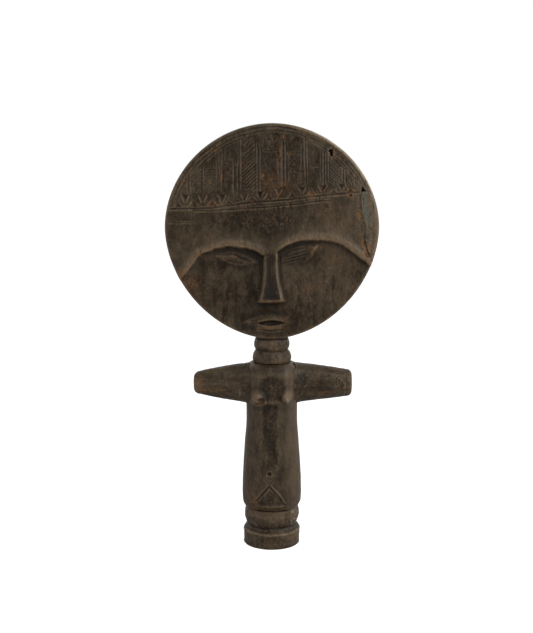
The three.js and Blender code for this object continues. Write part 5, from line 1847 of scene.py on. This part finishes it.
def wood_material(name, wood, stain, faded, grain_turn=(0.0, 0.0, 0.0), dust=None):
    """A stained wood whose grain runs along Z, or is turned to run another way."""
    material, tree = blank_material(name)
    place = {"Vector": put(tree, "ShaderNodeTexCoord").outputs["Object"]}
    turned = put(tree, "ShaderNodeMapping", place, Rotation=grain_turn)
    wires = {"Vector": turned.outputs["Vector"]}
    grain = put(tree, "ShaderNodeGroup", wires, node_tree=wood_grain_group()).outputs
    wires |= {label: grain[label] for label in ("Streaks", "Fibre", "Pores")}
    masks = MASKS | {"Dust amount": "dusty"} if dust else MASKS
    for label, attribute in masks.items():
        mask = put(tree, "ShaderNodeAttribute", attribute_name=attribute)
        wires[label] = mask.outputs["Fac"]
    hand = put(tree, "ShaderNodeGroup", wires, node_tree=stain_and_light_group(), Flecks=FLECKS)
    colours = {
        "Stain": stain, "Faded stain": faded, "Rubbed edge": wood.rubbed, "Hollow": wood.hollow,
        "Bare wood": wood.bare, "Dust": dust or wood.dust, "Pale wear": wood.pale,
    }
    for label, colour in colours.items():
        hand.inputs[label].default_value = linear(colour)
    height = {"Height": grain["Height"]}
    bumps = put(tree, "ShaderNodeBump", height, Strength=BUMP_STRENGTH, Distance=BUMP_HEIGHT)
    wires = {
        "Base Color": hand.outputs["Colour"], "Roughness": hand.outputs["Roughness"],
        "Normal": bumps.outputs["Normal"],
    }
    surface = put(tree, "ShaderNodeBsdfPrincipled", wires, Specular_IOR_Level=SHINE)
    put(tree, "ShaderNodeOutputMaterial", {"Surface": surface.outputs["BSDF"]})
    laid_out(tree)
    return material


def upright_wood():
    """The stained wood of the block, made once for all the pieces that share it."""
    wood = bpy.context.scene.akuaba_wood
    return bpy.data.materials.get("stained upright grain") or wood_material(
        "stained upright grain", wood, wood.stain, wood.faded
    )


# Stage

FLOOR_HALF, FLOOR_ROWS = 6.0, 12
LAMP_TARGET = Vector((0, 0, 0.19))
# Viewpoint: place in millimetres, tilt, and the focal length for a picture of so many pixels
VIEW_PLACE = (-4.15, -904, 341.3)
VIEW_TILT = math.radians(80)
SENSOR, FOCAL_PIXELS, PICTURE_PIXELS = 36, 1184.7, 633


def set_floor(stage):
    """A wide pale floor that shows white and keeps a soft shadow of the figure."""
    rows = FLOOR_ROWS
    steps = np.linspace(-FLOOR_HALF, FLOOR_HALF, rows + 1)
    x, y = np.meshgrid(steps, steps)
    points = np.stack([x, y, np.zeros_like(x)], -1).reshape(-1, 3) / MM
    a = (np.arange(rows)[:, None] * (rows + 1) + np.arange(rows)).ravel()
    floor = closed_mesh("pale_floor", points, quads(a, a + 1, a + rows + 2, a + rows + 1))
    material, tree = blank_material("pale floor paint")
    paint = put(tree, "ShaderNodeBsdfDiffuse", Color=tuple(stage.floor) + (1.0,))
    path = put(tree, "ShaderNodeLightPath").outputs
    seen = sum_of(tree, "MULTIPLY", path["Is Camera Ray"], stage.floor_glow)
    glow = put(tree, "ShaderNodeEmission", {"Strength": seen})
    both = put(tree, "ShaderNodeAddShader", {0: paint.outputs[0], 1: glow.outputs[0]})
    put(tree, "ShaderNodeOutputMaterial", {"Surface": both.outputs[0]})
    laid_out(tree)
    floor.data.materials.append(material)


def set_lamps(stage):
    """Soft boxes at both sides and above, and a pale surround."""
    lamps = (
        ("right_softbox", (0.86, -0.62, 0.62), 0.6, stage.right_lamp),
        ("left_softbox", (-1.5, -0.9, 0.5), 1.3, stage.left_lamp),
        ("top_softbox", (0.1, -0.9, 1.5), 1.2, stage.top_lamp),
    )
    for name, place, size, power in lamps:
        lamp = bpy.data.lights.new(name, "AREA")
        lamp.shape = "DISK"
        lamp.size = size
        lamp.energy = power
        holder = bpy.data.objects.new(name, lamp)
        holder.location = place
        aim = LAMP_TARGET - Vector(place)
        holder.rotation_euler = aim.to_track_quat("-Z", "Y").to_euler()
        bpy.context.scene.collection.objects.link(holder)
    world = bpy.data.worlds.new("pale surround")
    world.use_nodes = True
    tree = world.node_tree
    tree.nodes.clear()
    places = put(tree, "ShaderNodeTexCoord").outputs
    parts = put(tree, "ShaderNodeSeparateXYZ", {0: places["Generated"]}).outputs
    behind = between(tree, parts["Y"], -0.25, 0.55)
    spread = sum_of(tree, "MULTIPLY", behind, stage.surround - stage.room)
    round_about = sum_of(tree, "ADD", spread, stage.room)
    path = put(tree, "ShaderNodeLightPath").outputs
    seen = sum_of(tree, "MAXIMUM", path["Is Camera Ray"], path["Is Transmission Ray"])
    strength = {"Strength": sum_of(tree, "MAXIMUM", seen, round_about)}
    back = put(tree, "ShaderNodeBackground", strength, Color=(1.0, 1.0, 1.0, 1.0))
    put(tree, "ShaderNodeOutputWorld", {"Surface": back.outputs[0]})
    laid_out(tree)
    bpy.context.scene.world = world


def set_camera():
    """The photograph's viewpoint: level with the top of the head and 10 degrees down."""
    lens = bpy.data.cameras.new("viewpoint")
    lens.sensor_fit = "AUTO"
    lens.sensor_width = SENSOR
    lens.lens = FOCAL_PIXELS * SENSOR / PICTURE_PIXELS
    lens.clip_start, lens.clip_end = 0.05, 40
    camera = bpy.data.objects.new("viewpoint", lens)
    camera.location = [distance * MM for distance in VIEW_PLACE]
    camera.rotation_euler = (VIEW_TILT, 0, 0)
    bpy.context.scene.collection.objects.link(camera)
    bpy.context.scene.camera = camera


# Settings


def amount(name, description, default, low=0.0, **more):
    """A number that a user may change."""
    return FloatProperty(name=name, description=description, default=default, min=low, **more)


def length(name, description, default):
    """A small length that a user may change."""
    return amount(name, description, default, unit="LENGTH", precision=5)


def screen_colour(name, description, default):
    """A colour as it shows on screen."""
    return FloatVectorProperty(
        name=name, description=description, default=[c / 255 for c in default],
        size=3, min=0.0, max=1.0, subtype="COLOR_GAMMA",
    )


class HeadSizes(bpy.types.PropertyGroup):
    brow_ridge: length("Brow ridge", "How far the brows stand out of the forehead", 0.0014)
    nose_rise: length("Nose rise", "How far the nose stands out of the head's plane", 0.0126)
    eye_relief: length("Eye relief", "How far the eyes stand out of the face", 0.0017)
    lip_relief: length("Lip relief", "How far the lips stand out of the face", 0.002)


class CarvingSizes(bpy.types.PropertyGroup):
    groove_width: length("Groove width", "Width of a knife line", 0.0012)
    groove_depth: length("Groove depth", "Depth of a knife line", 0.00055)
    notch_depth: length("Notch depth", "Depth of the teeth cut above the forehead", 0.0014)
    lip_rise: length("Lip rise", "How far the wood stands up beside a knife line", 0.00012)
    tool_marks: length("Tool marks", "Unevenness that the tools left on the surface", 0.00016)
    head_mesh: length("Head mesh", "Distance between the points of the head's mesh", 0.00038)
    most_faces: amount("Most faces", "Most faces that the head keeps", 190000, 1000)


class WoodColours(bpy.types.PropertyGroup):
    stain: screen_colour("Stain", "The dark stain", (35, 26, 16))
    # The stain is mixed towards this colour where it has faded, and also where painted light falls;
    # painted shade moves it away.
    faded: screen_colour("Faded stain", "Stain that has faded under settled dust", (92, 77, 60))
    # Also painted highlight: on the brow ridge, the head's upper right rim, the foot's rim and the
    # teeth's right-hand edges.
    rubbed: screen_colour("Rubbed edge", "Edges that handling has rubbed light", (130, 109, 84))
    # Also painted shade: in hollows and cuts, down the nose's front, in the mouth, on the split
    # faces and where pieces meet.
    hollow: screen_colour("Hollow", "The bottom of cuts and hollows", (20, 14, 8))
    dust: screen_colour("Dust", "Greenish dust and grime of handling", (68, 61, 47))
    # Also painted highlight: along the head's rim, the sliver's upper rim, the foot's rim and the
    # right breast.
    pale: screen_colour("Pale wear", "Cream coloured wear on edges and specks", (188, 176, 150))
    bare: screen_colour("Bare wood", "Bare wood where the stain is gone", (110, 75, 44))
    mended: screen_colour("Mended wood", "The wood of the mended rim", (42, 34, 25))
    mended_light: screen_colour("Mended light", "Light streaks of the mended rim", (112, 97, 78))
    mended_dust: screen_colour("Mended dust", "Bluish grey rubbed over the mend", (84, 86, 77))


class StageSettings(bpy.types.PropertyGroup):
    floor: FloatVectorProperty(
        name="Floor", description="Colour of the floor", default=(0.6, 0.6, 0.6), size=3,
        subtype="COLOR",
    )
    floor_glow: amount("Floor glow", "Light that the camera adds to the floor", 0.82)
    right_lamp: amount("Right lamp", "Lamp at the viewer's right", 7.8, unit="POWER")
    left_lamp: amount("Left lamp", "Lamp at the viewer's left", 7.6, unit="POWER")
    top_lamp: amount("Top lamp", "Power of the lamp above", 6.6, unit="POWER")
    surround: amount("Surround", "Brightness behind and beside the figure", 0.9)
    room: amount("Room", "Brightness of the room in front of the figure", 0.05)


# Operators


class AKUABA_OT_carve_head(bpy.types.Operator):
    """Carve the round head with its crown, brows, eyes, nose and mouth"""

    bl_idname = "akuaba.carve_head"
    bl_label = "Carve head"

    def execute(self, context):
        scene = context.scene
        carve_head(scene.akuaba_head, scene.akuaba_carving, upright_wood())
        return {"FINISHED"}


class AKUABA_OT_mend_rim(bpy.types.Operator):
    """Fit the sliver of the rim back beyond the split"""

    bl_idname = "akuaba.mend_rim"
    bl_label = "Mend rim"

    def execute(self, context):
        wood = context.scene.akuaba_wood
        tones = (wood.mended, wood.mended_light)
        finish = wood_material("mended rim wood", wood, *tones, dust=wood.mended_dust)
        mend_rim(context.scene.akuaba_carving, finish)
        return {"FINISHED"}


class AKUABA_OT_turn_neck(bpy.types.Operator):
    """Carve the two rings of the neck"""

    bl_idname = "akuaba.turn_neck"
    bl_label = "Carve neck rings"

    def execute(self, context):
        carving = context.scene.akuaba_carving
        outline = ring_outline("neck_ring_lower", LOWER_RING)
        turn_ring("neck_ring_lower", "lower_neck_ring", outline, carving, 501)
        outline = ring_outline("neck_ring_upper", UPPER_RING)
        turn_ring("neck_ring_upper", "upper_neck_ring", outline, carving, 521)
        return {"FINISHED"}


class AKUABA_OT_carve_torso(bpy.types.Operator):
    """Carve the body with its chest, navel and the figures cut into its front"""

    bl_idname = "akuaba.carve_torso"
    bl_label = "Carve torso"

    def execute(self, context):
        carve_torso(context.scene.akuaba_carving, upright_wood())
        return {"FINISHED"}


class AKUABA_OT_carve_arms(bpy.types.Operator):
    """Carve the two arms, whose grain runs along them"""

    bl_idname = "akuaba.carve_arms"
    bl_label = "Carve arms"

    def execute(self, context):
        scene = context.scene
        wood = scene.akuaba_wood
        turn = (0, math.pi / 2, 0)
        finish = wood_material("stained level grain", wood, wood.stain, wood.faded, turn)
        carve_arm(-1, "arm_left", "left_arm", scene.akuaba_carving, finish, 601)
        carve_arm(1, "arm_right", "right_arm", scene.akuaba_carving, finish, 651)
        return {"FINISHED"}


class AKUABA_OT_turn_base(bpy.types.Operator):
    """Carve the waist bead and the round foot"""

    bl_idname = "akuaba.turn_base"
    bl_label = "Carve bead and foot"

    def execute(self, context):
        carving = context.scene.akuaba_carving
        bead = ring_outline("waist_bead", WAIST_BEAD)
        turn_ring("waist_bead", "carved_waist_bead", bead, carving, 541, 11, 0.28, mark_bead)
        turns = np.linspace(0, math.pi / 2, 4)
        edge = [(21.7 + 0.4 * math.sin(t), 0.4 - 0.4 * math.cos(t)) for t in turns]
        turn_ring("foot", "round_foot", edge + FOOT_SIDE, carving, 561, 13, 0.15, mark_foot)
        return {"FINISHED"}


class AKUABA_OT_set_stage(bpy.types.Operator):
    """Set the pale floor, the lamps and the camera"""

    bl_idname = "akuaba.set_stage"
    bl_label = "Set stage"

    def execute(self, context):
        stage = context.scene.akuaba_stage
        set_floor(stage)
        set_lamps(stage)
        set_camera()
        context.scene.view_settings.view_transform = "Standard"
        return {"FINISHED"}


class AKUABA_PT_figure(bpy.types.Panel):
    """The figure's settings and the steps that make it"""

    bl_idname = "AKUABA_PT_figure"
    bl_label = "Akuaba figure"
    bl_space_type = "VIEW_3D"
    bl_region_type = "UI"
    bl_category = "Akuaba"

    def draw(self, context):
        scene = context.scene
        for _, attribute in SETTINGS:
            settings = getattr(scene, attribute)
            column = self.layout.column()
            for name in settings.__annotations__:
                column.prop(settings, name)
        for step in STEPS:
            self.layout.operator(step.bl_idname)


STEPS = (
    AKUABA_OT_carve_head,
    AKUABA_OT_mend_rim,
    AKUABA_OT_turn_neck,
    AKUABA_OT_carve_torso,
    AKUABA_OT_carve_arms,
    AKUABA_OT_turn_base,
    AKUABA_OT_set_stage,
)
SETTINGS = (
    (HeadSizes, "akuaba_head"),
    (CarvingSizes, "akuaba_carving"),
    (WoodColours, "akuaba_wood"),
    (StageSettings, "akuaba_stage"),
)


def register():
    for group, name in SETTINGS:
        bpy.utils.register_class(group)
        setattr(bpy.types.Scene, name, PointerProperty(type=group))
    for kind in STEPS + (AKUABA_PT_figure,):
        bpy.utils.register_class(kind)


def unregister():
    for kind in reversed(STEPS + (AKUABA_PT_figure,)):
        bpy.utils.unregister_class(kind)
    for group, name in reversed(SETTINGS):
        delattr(bpy.types.Scene, name)
        bpy.utils.unregister_class(group)


def main():
    register()
    bpy.ops.akuaba.carve_head()
    bpy.ops.akuaba.mend_rim()
    bpy.ops.akuaba.turn_neck()
    bpy.ops.akuaba.carve_torso()
    bpy.ops.akuaba.carve_arms()
    bpy.ops.akuaba.turn_base()
    bpy.ops.akuaba.set_stage()


if __name__ == "__main__":
    main()
